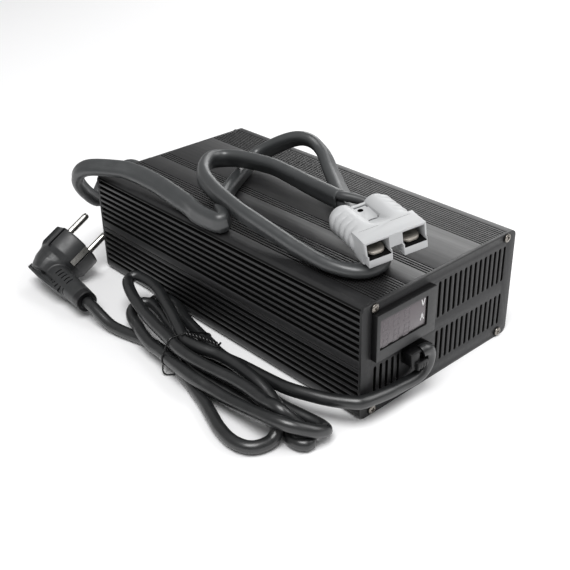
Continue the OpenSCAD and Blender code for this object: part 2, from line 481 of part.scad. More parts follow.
upper_shell();
lower_shell();
front_panel();
rear_panel();
front_screws();
rear_screws();
meter_bezel();
meter_window();
meter_display();
meter_board();
mains_bushing();
output_bushing();
mains_cord();
mains_cord_hank();
mains_cord_loop();
mains_cord_end();
twist_tie();
plug_body();
plug_pins();
plug_earth_clips();
output_lead();
output_conductors();
connector_shell();
connector_contacts();
connector_springs();
main_board();
insulating_sheet();
fuse();
emi_choke_core();
emi_choke_winding();
filter_capacitors();
bridge_rectifier();
bulk_capacitors();
primary_heatsink();
primary_transistors();
transformer_core();
transformer_winding();
output_choke_core();
output_choke_winding();
output_heatsink();
output_diodes();
output_capacitors();
relay();
control_board();
mains_inner_lead();
output_inner_lead();
fan_frame();
fan_rotor();
fan_shaft();
fan_screws();
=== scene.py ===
import bpy, bmesh, math
import numpy as np
from mathutils import Matrix, Vector


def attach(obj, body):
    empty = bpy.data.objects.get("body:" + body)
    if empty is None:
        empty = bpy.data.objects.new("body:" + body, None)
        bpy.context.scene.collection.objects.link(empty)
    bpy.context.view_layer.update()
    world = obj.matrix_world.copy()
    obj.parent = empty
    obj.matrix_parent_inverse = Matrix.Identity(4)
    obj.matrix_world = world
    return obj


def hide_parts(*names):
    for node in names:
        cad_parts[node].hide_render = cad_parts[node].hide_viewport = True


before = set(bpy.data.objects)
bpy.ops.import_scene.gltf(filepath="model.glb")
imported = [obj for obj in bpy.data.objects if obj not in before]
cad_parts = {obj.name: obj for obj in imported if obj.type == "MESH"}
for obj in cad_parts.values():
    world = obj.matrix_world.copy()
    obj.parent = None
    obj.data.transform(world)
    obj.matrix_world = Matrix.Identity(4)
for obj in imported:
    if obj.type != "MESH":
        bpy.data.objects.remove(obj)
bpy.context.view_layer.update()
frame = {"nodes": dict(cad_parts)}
NODES = frame["nodes"]
CASE = "case"

# ------------------------------------------------------------------ camera
RIGHT = Vector((0.7350, -0.6778, -0.0183))
LOC = Vector((-0.36700, -0.39837, 0.31658))
def camera():
    az, el, roll = math.radians(42.087), math.radians(29.581), math.radians(-1.209)
    f = Vector((math.sin(az) * math.cos(el), math.cos(az) * math.cos(el), -math.sin(el))).normalized()
    r0 = f.cross(Vector((0, 0, 1))).normalized()
    u0 = r0.cross(f).normalized()
    r = r0 * math.cos(roll) + u0 * math.sin(roll)
    if (r - RIGHT).length > (r0 * math.cos(roll) - u0 * math.sin(roll) - RIGHT).length:
        r = r0 * math.cos(roll) - u0 * math.sin(roll)
    u = r.cross(f).normalized()
    cam = bpy.data.cameras.new("camera")
    cam.sensor_fit = "HORIZONTAL"
    cam.sensor_width = 36.0
    cam.lens = 59.03
    cam.clip_start = 0.01
    cam.clip_end = 50
    ob = bpy.data.objects.new("camera", cam)
    bpy.context.scene.collection.objects.link(ob)
    m = Matrix((( r.x, u.x, -f.x, LOC.x), (r.y, u.y, -f.y, LOC.y), (r.z, u.z, -f.z, LOC.z), (0, 0, 0, 1)))
    ob.matrix_world = m
    bpy.context.scene.camera = ob
camera()

# ------------------------------------------------------------------ small tools
def link(ob):
    bpy.context.scene.collection.objects.link(ob)
    return ob

def mesh_ob(name, verts, faces, scale=0.001, angle=30.0):
    me = bpy.data.meshes.new(name)
    me.from_pydata([tuple(float(c) * scale for c in v) for v in verts], [], [tuple(f) for f in faces])
    me.validate()
    me.update()
    ob = link(bpy.data.objects.new(name, me))
    smooth(ob, angle)
    return ob

def smooth(ob, angle=30.0):
    me = ob.data
    me.polygons.foreach_set("use_smooth", [True] * len(me.polygons))
    me.set_sharp_from_angle(angle=math.radians(angle))

def fix_normals(ob):
    bm = bmesh.new()
    bm.from_mesh(ob.data)
    bmesh.ops.remove_doubles(bm, verts=bm.verts, dist=1e-6)
    bmesh.ops.recalc_face_normals(bm, faces=bm.faces)
    bm.to_mesh(ob.data)
    bm.free()

def baked(ob, name=None, angle=30.0):
    """the object's mesh with its modifiers applied"""
    dg = bpy.context.evaluated_depsgraph_get()
    dg.update()
    me = bpy.data.meshes.new_from_object(ob.evaluated_get(dg))
    mats = list(ob.data.materials)
    ob.modifiers.clear()
    old = ob.data
    ob.data = me
    if name:
        ob.name = name
    smooth(ob, angle)
    return ob

def to_mesh(ob):
    dg = bpy.context.evaluated_depsgraph_get()
    dg.update()
    me = bpy.data.meshes.new_from_object(ob.evaluated_get(dg))
    name = ob.name
    new = link(bpy.data.objects.new(name + "_m", me))
    new.matrix_world = ob.matrix_world
    bpy.data.objects.remove(ob)
    new.name = name
    return new

def boolean(ob, others, op="DIFFERENCE", solver="EXACT"):
    for o in others:
        m = ob.modifiers.new("b", "BOOLEAN")
        m.operation = op
        m.solver = solver
        m.object = o
    dg = bpy.context.evaluated_depsgraph_get()
    dg.update()
    me = bpy.data.meshes.new_from_object(ob.evaluated_get(dg))
    ob.modifiers.clear()
    ob.data = me
    for o in others:
        bpy.data.objects.remove(o)
    return ob

def bevel(ob, w, segs=2, angle=35.0):
    m = ob.modifiers.new("v", "BEVEL")
    m.width = w * 0.001
    m.segments = segs
    m.limit_method = "ANGLE"
    m.angle_limit = math.radians(angle)
    m.use_clamp_overlap = True
    m.harden_normals = False
    return baked(ob, angle=angle)

def join(obs, name):
    bm = bmesh.new()
    mats = []
    for o in obs:
        tmp = bmesh.new()
        tmp.from_mesh(o.data)
        tmp.transform(o.matrix_world)
        me = bpy.data.meshes.new("t")
        tmp.to_mesh(me)
        tmp.free()
        base = len(mats)
        ms = list(o.data.materials) or [None]
        idx = []
        for m in ms:
            if m in mats:
                idx.append(mats.index(m))
            else:
                mats.append(m)
                idx.append(len(mats) - 1)
        n0 = len(bm.faces)
        bm.from_mesh(me)
        bm.faces.ensure_lookup_table()
        for f in bm.faces[n0:]:
            f.material_index = idx[min(f.material_index, len(idx) - 1)]
        bpy.data.meshes.remove(me)
    me = bpy.data.meshes.new(name)
    bm.to_mesh(me)
    bm.free()
    for m in mats:
        if m is not None:
            me.materials.append(m)
    ob = link(bpy.data.objects.new(name, me))
    for o in obs:
        bpy.data.objects.remove(o)
    return ob

def place(ob, at, rot):
    """moves the vertices of a piece made in its own millimetre frame"""
    m = Matrix.Translation(Vector(at) * 0.001) @ (Matrix.Rotation(math.radians(rot[2]), 4, "Z") @ Matrix.Rotation(math.radians(rot[1]), 4, "Y") @ Matrix.Rotation(math.radians(rot[0]), 4, "X"))
    ob.data.transform(m @ ob.matrix_world)
    ob.matrix_world = Matrix.Identity(4)
    return ob

def arc(cx, cy, r, a0, a1, n):
    return [(cx + r * math.cos(math.radians(a0 + (a1 - a0) * k / n)), cy + r * math.sin(math.radians(a0 + (a1 - a0) * k / n))) for k in range(n + 1)]

def rrect(cx, cy, w, h, r, n=6):
    r = min(r, w / 2 - 1e-4, h / 2 - 1e-4)
    p = []
    for sx, sy, a in ((1, 1, 0), (-1, 1, 90), (-1, -1, 180), (1, -1, 270)):
        p += arc(cx + sx * (w / 2 - r), cy + sy * (h / 2 - r), r, a, a + 90, n)
    return p

def slot2d(x, z0, z1, w, n=8):
    return arc(x, z1 - w / 2, w / 2, 0, 180, n) + arc(x, z0 + w / 2, w / 2, 180, 360, n)

def filleted(pts, rad, n=2):
    """a closed outline whose corners are rounded; rad is one radius or a list"""
    out = []
    N = len(pts)
    for i in range(N):
        p0, p1, p2 = (np.array(pts[(i + k) % N], float) for k in (-1, 0, 1))
        r = rad[i] if isinstance(rad, (list, tuple)) else rad
        a, b = p0 - p1, p2 - p1
        la, lb = np.linalg.norm(a), np.linalg.norm(b)
        if r <= 0 or la < 1e-6 or lb < 1e-6:
            out.append(tuple(p1))
            continue
        a, b = a / la, b / lb
        ang = math.acos(max(-1, min(1, float(a @ b))))
        if ang > math.pi - 0.05:
            out.append(tuple(p1))
            continue
        t = min(r / math.tan(ang / 2), 0.48 * la, 0.48 * lb)
        s, e = p1 + a * t, p1 + b * t
        for k in range(n + 1):
            u = k / n
            out.append(tuple((1 - u) ** 2 * s + 2 * u * (1 - u) * p1 + u * u * e))
    return out

def extrude_y(name, loop, y0, y1, angle=30.0, cap=True):
    """a closed outline in X and Z made solid along Y"""
    n = len(loop)
    v = [(x, y0, z) for x, z in loop] + [(x, y1, z) for x, z in loop]
    f = [(i, (i + 1) % n, n + (i + 1) % n, n + i) for i in range(n)]
    ob = mesh_ob(name, v, f + ([tuple(range(n)), tuple(range(2 * n - 1, n - 1, -1))] if cap else []), angle=angle)
    fix_normals(ob)
    smooth(ob, angle)
    return ob

def plate(name, outer, holes, y0, y1, bev=0.12):
    """a flat plate in X and Z with holes and finely bevelled edges"""
    cu = bpy.data.curves.new(name, "CURVE")
    cu.dimensions = "2D"
    cu.fill_mode = "BOTH"
    cu.extrude = ((y1 - y0) / 2 - bev) * 0.001
    cu.bevel_depth = bev * 0.001
    cu.bevel_resolution = 1
    cu.offset = -bev * 0.001
    for loop in [outer] + holes:
        sp = cu.splines.new("POLY")
        sp.points.add(len(loop) - 1)
        for p, (x, z) in zip(sp.points, loop):
            p.co = (x * 0.001, z * 0.001, 0, 1)
        sp.use_cyclic_u = True
    ob = link(bpy.data.objects.new(name, cu))
    ob = to_mesh(ob)
    ob.data.transform(Matrix.Translation((0, (y0 + y1) * 0.0005, 0)) @ Matrix(((1, 0, 0, 0), (0, 0, -1, 0), (0, 1, 0, 0), (0, 0, 0, 1))))
    fix_normals(ob)
    smooth(ob, 30)
    return ob

def box_ob(name, lo, hi, bev=0.0, segs=2):
    (x0, y0, z0), (x1, y1, z1) = lo, hi
    v = [(x, y, z) for x in (x0, x1) for y in (y0, y1) for z in (z0, z1)]
    f = [(0, 1, 3, 2), (4, 6, 7, 5), (0, 4, 5, 1), (2, 3, 7, 6), (0, 2, 6, 4), (1, 5, 7, 3)]
    ob = mesh_ob(name, v, f)
    return bevel(ob, bev, segs) if bev else ob

def cyl(name, p0, p1, r0, r1=None, n=32, caps=True):
    r1 = r0 if r1 is None else r1
    p0, p1 = np.array(p0, float), np.array(p1, float)
    t = (p1 - p0) / np.linalg.norm(p1 - p0)
    a = np.cross(t, (0, 0, 1.0) if abs(t[2]) < 0.9 else (1.0, 0, 0))
    a /= np.linalg.norm(a)
    b = np.cross(t, a)
    v = [p + r * (math.cos(2 * math.pi * k / n) * a + math.sin(2 * math.pi * k / n) * b) for p, r in ((p0, r0), (p1, r1)) for k in range(n)]
    f = [(k, (k + 1) % n, n + (k + 1) % n, n + k) for k in range(n)] + [tuple(range(n - 1, -1, -1)), tuple(range(n, 2 * n))]
    ob = mesh_ob(name, v, f)
    fix_normals(ob)
    smooth(ob)
    return ob

def loft(name, rings, closed_ends=True, angle=30.0):
    n = len(rings[0])
    v = [p for r in rings for p in r]
    f = [(i * n + k, i * n + (k + 1) % n, (i + 1) * n + (k + 1) % n, (i + 1) * n + k) for i in range(len(rings) - 1) for k in range(n)]
    if closed_ends:
        f += [tuple(range(n - 1, -1, -1)), tuple((len(rings) - 1) * n + k for k in range(n))]
    ob = mesh_ob(name, v, f, angle=angle)
    fix_normals(ob)
    smooth(ob, angle)
    return ob

def spline(pts, n=8):
    p = [np.array(q, float) for q in pts]
    e = [2 * p[0] - p[1]] + p + [2 * p[-1] - p[-2]]
    out = []
    for i in range(1, len(e) - 2):
        a, b, c, d = e[i - 1:i + 3]
        for k in range(n):
            t = k / n
            out.append(0.5 * ((2 * b) + (-a + c) * t + (2 * a - 5 * b + 4 * c - d) * t * t + (-a + 3 * b - 3 * c + d) * t ** 3))
    out.append(p[-1])
    return np.array(out)

def resample(c, step):
    s = np.concatenate([[0], np.cumsum(np.linalg.norm(np.diff(c[:, :3], axis=0), axis=1))])
    t = np.linspace(0, s[-1], max(2, int(round(s[-1] / step)) + 1))
    return np.stack([np.interp(t, s, c[:, i]) for i in range(c.shape[1])], 1)

def length(c):
    return float(np.linalg.norm(np.diff(c, axis=0), axis=1).sum())

def cord_curve(name, pts, dia, sides=6):
    cu = bpy.data.curves.new(name, "CURVE")
    cu.dimensions = "3D"
    cu.bevel_depth = dia * 0.0005
    cu.bevel_resolution = sides
    cu.use_fill_caps = True
    cu.twist_mode = "MINIMUM"
    sp = cu.splines.new("POLY")
    sp.points.add(len(pts) - 1)
    for q, p in zip(sp.points, pts):
        q.co = (p[0] * 0.001, p[1] * 0.001, p[2] * 0.001, 1)
    sp.use_smooth = True
    return link(bpy.data.objects.new(name, cu))

# ------------------------------------------------------------------ cords: routes in millimetres, as in the CAD model
LEAD = [[-20,134,57],[-23,149,57],[-39,156.5,48.5],[-53.5,147,42.5],[-66,143,54.5],[-73,136.5,68],[-71,124.5,77.5],
  [-60.5,102.5,80],[-56.5,89.5,79.5],[-56,68.5,79],[-57,54.5,78.5],[-59.5,28.5,77],[-63.5,13.5,77.5],[-63,-5,78],
  [-58,-4,78.5],[-49.5,9.5,77.5],[-38.5,19.5,79.5],[-19.5,34,77.5],[-1,45.5,77.5],[18,53,81],[31.5,35.5,93],
  [36.5,22,95.5],[36.5,9,90.5],[28,-7.5,84],[17.5,-26.5,79],[10,-40.5,77.5],[2,-54.5,77.5],[-3,-65,75.5],
  [-10.5,-78,75.5],[-19,-92,75.5],[-31,-101.5,75.5],[-43.5,-100,75.5],[-51,-86,76],[-53,-63,78],[-53.5,-51,80],
  [-54,-24.5,84],[-53,-10.5,85.5],[-48,16.5,87],[-40.5,37,89.5],[-26,50,90.5],[-14,48.5,89.5],[-8,35.5,90.5],
  [-5.5,12.5,92],[-5.5,-2,91.5],[-9,-31,91.5],[-14,-56.5,93.5]]
# the way the wide side of the lead's oval section points
LEAD_WIDE = [[-0.3,-0.1,0.9],[-0.5,-0.1,0.9],[-0.5,-0.1,0.9],[0,0.7,0.7],[0.4,0.7,0.6],[0.5,0.6,0.6],[0.7,0.5,0.5],
  [0.8,0.3,0.5],[0.8,0.1,0.6],[0.8,0,0.7],[0.7,-0.1,0.7],[0.4,-0.1,0.9],[0.2,0,1],[0,0.1,1],[-0.1,0.1,1],[-0.1,0,1],
  [0,0,1],[0.1,-0.1,1],[0,-0.1,1],[-0.4,-0.1,0.9],[-0.7,0,0.7],[-0.7,-0.2,0.7],[-0.7,0,0.7],[-0.8,0.2,0.6],
  [-0.8,0.3,0.5],[-0.8,0.4,0.5],[-0.9,0.4,0.3],[-0.9,0.5,0.1],[-0.9,0.5,0],[-0.7,0.7,-0.1],[-0.3,0.9,-0.1],
  [0.6,0.8,-0.2],[0.8,0.2,-0.6],[0.5,0.1,-0.8],[0.5,0.1,-0.9],[0.3,0.1,-0.9],[0.3,0,-1],[-0.1,0.1,-1],[-0.2,0.2,-1],
  [-0.1,0.2,-1],[0.2,0.2,-0.9],[0.4,0,-0.9],[0.4,0,-0.9],[0.3,0,-1],[0.1,-0.1,-1],[0.1,-0.1,-1]]
MAINS = [[-24.5,-129.8,29.3],[-21.5,-130.5,30],[-18.5,-130.5,27.5],[-17.6,-130,21.5],[-20.5,-129.5,15.5],
  [-26.5,-129,12.5],[-38,-128,12],[-50.5,-128.5,13.5],[-67.5,-127,15.5],[-72,-123,15.5],[-78,-113,15],[-83,-102,15],
  [-86.5,-90.5,14.5],[-87,-79,13],[-87.5,-53.5,11],[-89.5,-39.5,11],[-88.5,-27.5,11],[-84.5,-14.5,9.5],[-81.5,-2,8.5],
  [-79,10,8.5],[-75.5,21.5,8],[-71,32,7],[-70,38.5,7.5],[-70,48.5,7],[-71,53.5,5.5],[-74.5,55,4],[-79,52.5,4],
  [-84,41.5,4],[-86.5,30,4],[-89,18,4],[-90.5,6,4],[-90,-5.5,4],[-89,-17.5,4],[-88.5,-29,4],[-88.5,-40.5,4],
  [-89,-52.5,4],[-90.5,-65,5],[-91.5,-77.5,5.5],[-91.5,-89.5,5],[-89.5,-101,4.5],[-87.5,-113,4],[-88.5,-119,5],
  [-91.5,-122.5,7],[-96.5,-123,9.5],[-101.5,-121.5,12],[-108,-116,15],[-111,-111,16],[-113,-103,15.5],[-113,-91,13],
  [-113,-79,11],[-113.5,-67,10],[-114,-55.5,10],[-115.5,-42,11],[-115,-30,11],[-113.5,-18,10],[-111.5,-5.5,9.5],
  [-110.5,6.5,9],[-108.5,19.5,10.5],[-104,32.5,9.5],[-100,42.5,9],[-96.5,46.5,10.5],[-91.5,48,11.5],[-87,46,12],
  [-85,41,11.5],[-87,28.5,11],[-90.5,17,11],[-93.5,5.5,10.5],[-98.5,-8,9.5],[-103.5,-19,9],[-107.5,-30,9],
  [-108,-42,8],[-107,-53.5,7],[-105,-65.5,6],[-103,-77.5,5],[-102.5,-89.5,4],[-103.5,-103.5,4],[-106.5,-113,4],
  [-106,-118.5,4],[-103,-121.5,4],[-99.5,-119,4],[-98.5,-114,5],[-100,-110,8.5],[-105,-105,15],[-105.5,-102,16.5],
  [-105,-88,16],[-104.5,-75.5,16.5],[-105,-63.5,16.5],[-106.5,-52,16.5],[-108,-40,16.5],[-109,-28,17],
  [-108.5,-16,17.5],[-106,-4.5,17.5],[-104,7.5,17.5],[-102,19.5,18],[-99,31,18],[-96,42.5,19],[-92,54,19.5],
  [-88,62.5,20.5],[-84.5,65.5,21],[-80.5,64.5,22],[-79,60,21.5],[-79,48,21.5],[-81.5,36.5,21.5],[-85.5,25,20.5],
  [-89.5,14,20],[-94,2.5,19],[-99,-10,17.5],[-100.5,-14.5,17],[-99,-26.5,17],[-95.5,-38,16.5],[-94.5,-49.5,16.5],
  [-95,-62,16.5],[-96,-73.5,16],[-97,-85,13],[-99.5,-94.5,10.5],[-103.5,-100,10],[-108,-104,9],[-111,-106,6.5],
  [-115,-106.5,4.5],[-120,-106,4],[-125,-104,4],[-128.5,-99.5,4],[-130,-91,4],[-128,-79,4],[-124,-67.5,4],
  [-120,-56.5,4],[-116.5,-45,4],[-113.5,-33.5,4],[-110.5,-21.5,4],[-107.5,-10,4],[-105.5,2,4],[-105.5,14,4],
  [-107,25.5,4],[-110,37,4],[-112.1,48.3,4.8],[-113,57.9,8.1],[-113.2,66.6,11],[-113.1,73.6,11.8]]

def settle_apart(q, gap=7.35, rounds=60):
    """push strands of one cord apart where they come closer than gap, and keep them above the floor"""
    far = np.abs(np.arange(len(q))[:, None] - np.arange(len(q))[None]) > 9
    for _ in range(rounds):
        d = q[:, None] - q[None]
        dist = np.sqrt((d ** 2).sum(2))
        w = np.where((dist < gap) & far, (gap - dist) / np.maximum(dist, 0.1), 0)
        push = (w[:, :, None] * d).sum(1) * 0.25
        push[:2] = 0
        push[-3:] = 0
        for _k in range(3):
            push[1:-1] = 0.25 * push[:-2] + 0.5 * push[1:-1] + 0.25 * push[2:]
        q = q + push
        q[:, 2] = np.maximum(q[:, 2], 3.8)
    return q

def frames(c):
    t = np.zeros_like(c)
    t[1:-1] = c[2:] - c[:-2]
    t[0], t[-1] = c[1] - c[0], c[-1] - c[-2]
    return t / np.linalg.norm(t, axis=1)[:, None]

def oval_cord(name, c, wide, w, h, n=30):
    """a flat twin-core jacket swept along c, its wide side along wide, with a shallow waist between the cores"""
    t = frames(c)
    u = wide - (wide * t).sum(1)[:, None] * t
    u /= np.linalg.norm(u, axis=1)[:, None]
    v = np.cross(t, u)
    ph = np.linspace(0, 2 * math.pi, n + 1)[:-1]
    sx = np.sign(np.cos(ph)) * np.abs(np.cos(ph)) ** 0.88 * w / 2
    sy = np.sign(np.sin(ph)) * np.abs(np.sin(ph)) ** 0.86 * h / 2 * (1 - 0.10 * np.exp(-(sx / 1.5) ** 2))
    rings = [c[i] + sx[:, None] * u[i] + sy[:, None] * v[i] for i in range(len(c))]
    def end(i, sgn):
        o = []
        for k, off in ((0.955, 0.25), (0.86, 0.3), (0.84, -1.6), (0.3, -1.8)):
            o.append(c[i] + sgn * off * t[i] + sx[:, None] * k * u[i] + sy[:, None] * k * v[i])
        return o
    rings = end(0, -1)[::-1][2:] + rings + end(len(c) - 1, 1)
    m = len(rings)
    verts = [p for r in rings for p in r]
    faces = [(i * n + k, i * n + (k + 1) % n, (i + 1) * n + (k + 1) % n, (i + 1) * n + k) for i in range(m - 1) for k in range(n)]
    faces += [tuple(range(n))[::-1], tuple((m - 1) * n + k for k in range(n))]
    ob = mesh_ob(name, verts, faces, angle=50)
    fix_normals(ob)
    smooth(ob, 50)
    return ob

lw = resample(np.concatenate([spline(LEAD, 10), spline(LEAD_WIDE, 10)], 1), 2.2)
lead_line, lead_wide = lw[:, :3].copy(), lw[:, 3:]
# rest the lead on the case: the lowest point of its section clears the top
tl = frames(lead_line)
lu = lead_wide - (lead_wide * tl).sum(1)[:, None] * tl
lu /= np.linalg.norm(lu, axis=1)[:, None]
low = np.sqrt((6.25 * lu[:, 2]) ** 2 + (4.25 * np.cross(tl, lu)[:, 2]) ** 2)
over = (np.abs(lead_line[:, 0]) < 66.5) & (np.abs(lead_line[:, 1]) < 124)
lift = np.where(over, np.maximum(0, 71.1 + low - lead_line[:, 2]), 0)
lead_line[:, 2] += np.convolve(np.pad(lift, 4, mode="edge"), np.ones(9) / 9, "valid")
mains_line = settle_apart(resample(spline(MAINS, 10), 2.2))
lead = oval_cord("output_lead_jacket", lead_line, lead_wide, 12.5, 8.5)
mains = cord_curve("mains_cord_jacket", mains_line, 7.5, 6)
print("LENGTHS", round(length(lead_line), 1), round(length(mains_line), 1))
# ------------------------------------------------------------------ materials
def rgb(h):
    c = [int(h[i:i + 2], 16) / 255 for i in (0, 2, 4)]
    return tuple(x / 12.92 if x <= 0.04045 else ((x + 0.055) / 1.055) ** 2.4 for x in c)

MATS = {}
def shader(name, color, rough=0.5, metal=0.0, spec=0.5, coat=0.0, coat_rough=0.15, var=((90, 0.08, None),), rvar=(300, 0.06, None),
           bumps=((900, 0.15, 0.00008, None),), wear_and_highlight=None, trans=0.0, ior=1.5, speck=None, dust=0.0, waves=None, aniso=0.0):
    """a procedural material: colour that varies, roughness that varies, layered bump, and edges lightened partly as
    wear and partly as painted highlight
    """
    m = bpy.data.materials.new(name)
    m.use_nodes = True
    nt = m.node_tree
    nt.nodes.clear()
    N = lambda t, **k: nt.nodes.new(t)
    L = nt.links.new
    out = N("ShaderNodeOutputMaterial")
    bs = N("ShaderNodeBsdfPrincipled")
    L(bs.outputs[0], out.inputs["Surface"])
    tc = N("ShaderNodeTexCoord")
    def coords(stretch):
        if stretch is None:
            return tc.outputs["Object"]
        mp = N("ShaderNodeMapping")
        mp.inputs["Scale"].default_value = stretch
        L(tc.outputs["Object"], mp.inputs["Vector"])
        return mp.outputs["Vector"]
    def noise(scale, stretch=None, detail=3.0, rough_=0.55):
        n = N("ShaderNodeTexNoise")
        n.inputs["Scale"].default_value = scale
        n.inputs["Detail"].default_value = detail
        n.inputs["Roughness"].default_value = rough_
        L(coords(stretch), n.inputs["Vector"])
        return n.outputs["Fac"]
    def math_(op, a, b=None, clamp=False):
        n = N("ShaderNodeMath")
        n.operation = op
        n.use_clamp = clamp
        for s, v in zip(n.inputs, (a, b)):
            if v is None:
                continue
            if isinstance(v, (int, float)):
                s.default_value = v
            else:
                L(v, s)
        return n.outputs[0]
    def remap(v, a, b, lo, hi):
        n = N("ShaderNodeMapRange")
        L(v, n.inputs["Value"])
        for k, x in zip(("From Min", "From Max", "To Min", "To Max"), (a, b, lo, hi)):
            n.inputs[k].default_value = x
        return n.outputs["Result"]
    def mixc(f, a, b, mode="MIX"):
        n = N("ShaderNodeMix")
        n.data_type = "RGBA"
        n.blend_type = mode
        if isinstance(f, (int, float)):
            n.inputs["Factor"].default_value = f
        else:
            L(f, n.inputs["Factor"])
        for s, v in ((n.inputs[6], a), (n.inputs[7], b)):
            if isinstance(v, tuple):
                s.default_value = (*v, 1)
            else:
                L(v, s)
        return n.outputs[2]
    lo = lambda a: tuple(max(0, c * (1 - a)) for c in color)
    hi = lambda a: tuple(min(1, c * (1 + a)) for c in color)
    col = None
    for sc, am, st in var:
        f = remap(noise(sc, st), 0.3, 0.7, 0, 1)
        c2 = mixc(f, lo(am), hi(am))
        col = c2 if col is None else mixc(0.5, col, c2)
    if speck:
        sc, am, sp = speck
        f = remap(noise(sc, None, 2), 0.66, 0.74, 0, am)
        col = mixc(f, col, sp)
    r = remap(noise(rvar[0], rvar[2]), 0.3, 0.7, rough - rvar[1], rough + rvar[1])
    if dust:
        g = N("ShaderNodeNewGeometry")
        sx = N("ShaderNodeSeparateXYZ")
        L(g.outputs["Normal"], sx.inputs[0])
        up = math_("MULTIPLY", remap(sx.outputs["Z"], 0.2, 1.0, 0, 1), remap(noise(140, None, 5), 0.4, 0.75, 0, dust))
        col = mixc(up, col, (0.45, 0.44, 0.42))
    # edges lightened and made smoother: partly wear, partly painted highlight on the rims
    if wear_and_highlight:
        rad, wc, wr, am = wear_and_highlight
        bv = N("ShaderNodeBevel")
        bv.samples = 4
        bv.inputs["Radius"].default_value = rad
        g = N("ShaderNodeNewGeometry")
        dt = N("ShaderNodeVectorMath")
        dt.operation = "DOT_PRODUCT"
        L(bv.outputs[0], dt.inputs[0])
        L(g.outputs["Normal"], dt.inputs[1])
        e = remap(dt.outputs["Value"], 0.995, 0.85, 0, 1)
        e = math_("MULTIPLY", e, remap(noise(420, None, 4), 0.35, 0.6, 0.25, 1), True)
        e = math_("MULTIPLY", e, am)
        col = mixc(e, col, wc)
        n = N("ShaderNodeMix")
        L(e, n.inputs["Factor"])
        L(r, n.inputs[2])
        n.inputs[3].default_value = wr
        r = n.outputs[0]
    L(col, bs.inputs["Base Color"])
    L(r, bs.inputs["Roughness"])
    bs.inputs["Metallic"].default_value = metal
    bs.inputs["Specular IOR Level"].default_value = spec
    bs.inputs["IOR"].default_value = ior
    bs.inputs["Coat Weight"].default_value = coat
    bs.inputs["Coat Roughness"].default_value = coat_rough
    bs.inputs["Transmission Weight"].default_value = trans
    bs.inputs["Anisotropic"].default_value = aniso
    prev = None
    for sc, st, di, stretch in bumps:
        b = N("ShaderNodeBump")
        b.inputs["Strength"].default_value = st
        b.inputs["Distance"].default_value = di
        L(noise(sc, stretch, 4, 0.6), b.inputs["Height"])
        if prev is not None:
            L(prev, b.inputs["Normal"])
        prev = b.outputs["Normal"]
    if prev is not None:
        L(prev, bs.inputs["Normal"])
    MATS[name] = m
    return m

ALONG = (1.0, 0.02, 1.0)   # streaks along the extrusion
# the lighter fin edges are partly wear and partly painted highlight
ANOD = shader("anodised", rgb("262627"), 0.40, metal=0.2, spec=0.5, var=((60, 0.10, (1, 0.15, 1)), (1500, 0.04, ALONG)), rvar=(500, 0.06, ALONG),
              bumps=((2600, 0.10, 0.00002, ALONG), (5200, 0.10, 0.00001, None)), wear_and_highlight=(0.00035, rgb("6a6a6a"), 0.38, 0.5), dust=0.012)
# near-black for the insides of grooves and slots: painted shade
SLOT_GROOVE_SHADE = shader("slot_and_groove_shade", rgb("060606"), 0.62, spec=0.2, var=((300, 0.2, None),), rvar=(400, 0.05, None), bumps=((2600, 0.15, 0.00002, None),))
PANEL = shader("panel", rgb("242425"), 0.46, metal=0.15, spec=0.45, var=((40, 0.06, None), (2400, 0.07, None)), rvar=(500, 0.05, None),
               bumps=((3600, 0.35, 0.00003, None), (900, 0.12, 0.00003, None)), wear_and_highlight=(0.0003, rgb("6e6e6e"), 0.4, 0.5), dust=0.01)
WASHER_SHADE = shader("washer_shade", rgb("1a1a1a"), 0.4, metal=0.6, var=((700, 0.2, None),), rvar=(900, 0.08, None), bumps=((1800, 0.3, 0.00004, None),), wear_and_highlight=(0.0002, rgb("4a4a4a"), 0.35, 0.5))
# the bright rim on the screw heads is partly wear and partly painted highlight
NICKEL = shader("nickel", rgb("8c8781"), 0.30, metal=1.0, var=((700, 0.12, None),), rvar=(1200, 0.08, None),
                bumps=((1800, 0.2, 0.00004, None),), wear_and_highlight=(0.00025, rgb("e6e0d6"), 0.2, 0.7))
PIN = shader("pins", rgb("d7d5d0"), 0.16, metal=1.0, var=((300, 0.06, None),), rvar=(900, 0.05, (1, 1, 0.2)), bumps=((2200, 0.12, 0.00003, None),))
BEZEL = shader("bezel", rgb("080809"), 0.5, spec=0.22, var=((120, 0.15, None),), rvar=(600, 0.06, None), bumps=((4200, 0.25, 0.00002, None),),
               wear_and_highlight=(0.00025, rgb("4a4a4a"), 0.4, 0.4))
BEZEL_FRONT_LIT = shader("bezel_front_painted_light", rgb("242425"), 0.42, spec=0.5, var=((120, 0.08, None),), rvar=(600, 0.05, None), bumps=((4200, 0.25, 0.00002, None),),
                    wear_and_highlight=(0.00025, rgb("4c4c4c"), 0.4, 0.4))
WINDOW = shader("window", rgb("544c50"), 0.24, spec=0.45, coat=0.25, coat_rough=0.12, var=((60, 0.10, None), (18, 0.06, None)), rvar=(200, 0.04, None), bumps=((300, 0.05, 0.00003, None),))
WIN_SHADE_EDGE = shader("window_shade_edge", rgb("0b0709"), 0.25, coat=0.4, var=((200, 0.3, None),), bumps=((900, 0.1, 0.00003, None),))
PRINT = shader("print_white", rgb("e6e6e6"), 0.5, var=((900, 0.06, None),), bumps=((2600, 0.15, 0.00002, None),))
SEGMENT = shader("segment", rgb("4d454a"), 0.3, coat=0.3, var=((300, 0.08, None),), bumps=((900, 0.1, 0.00002, None),))
CORD = shader("mains_jacket", rgb("1a1b1c"), 0.33, spec=0.85, var=((45, 0.14, None), (900, 0.10, None)), rvar=(160, 0.07, None),
              bumps=((1500, 0.22, 0.00005, None), (260, 0.15, 0.0001, None)), dust=0.012)
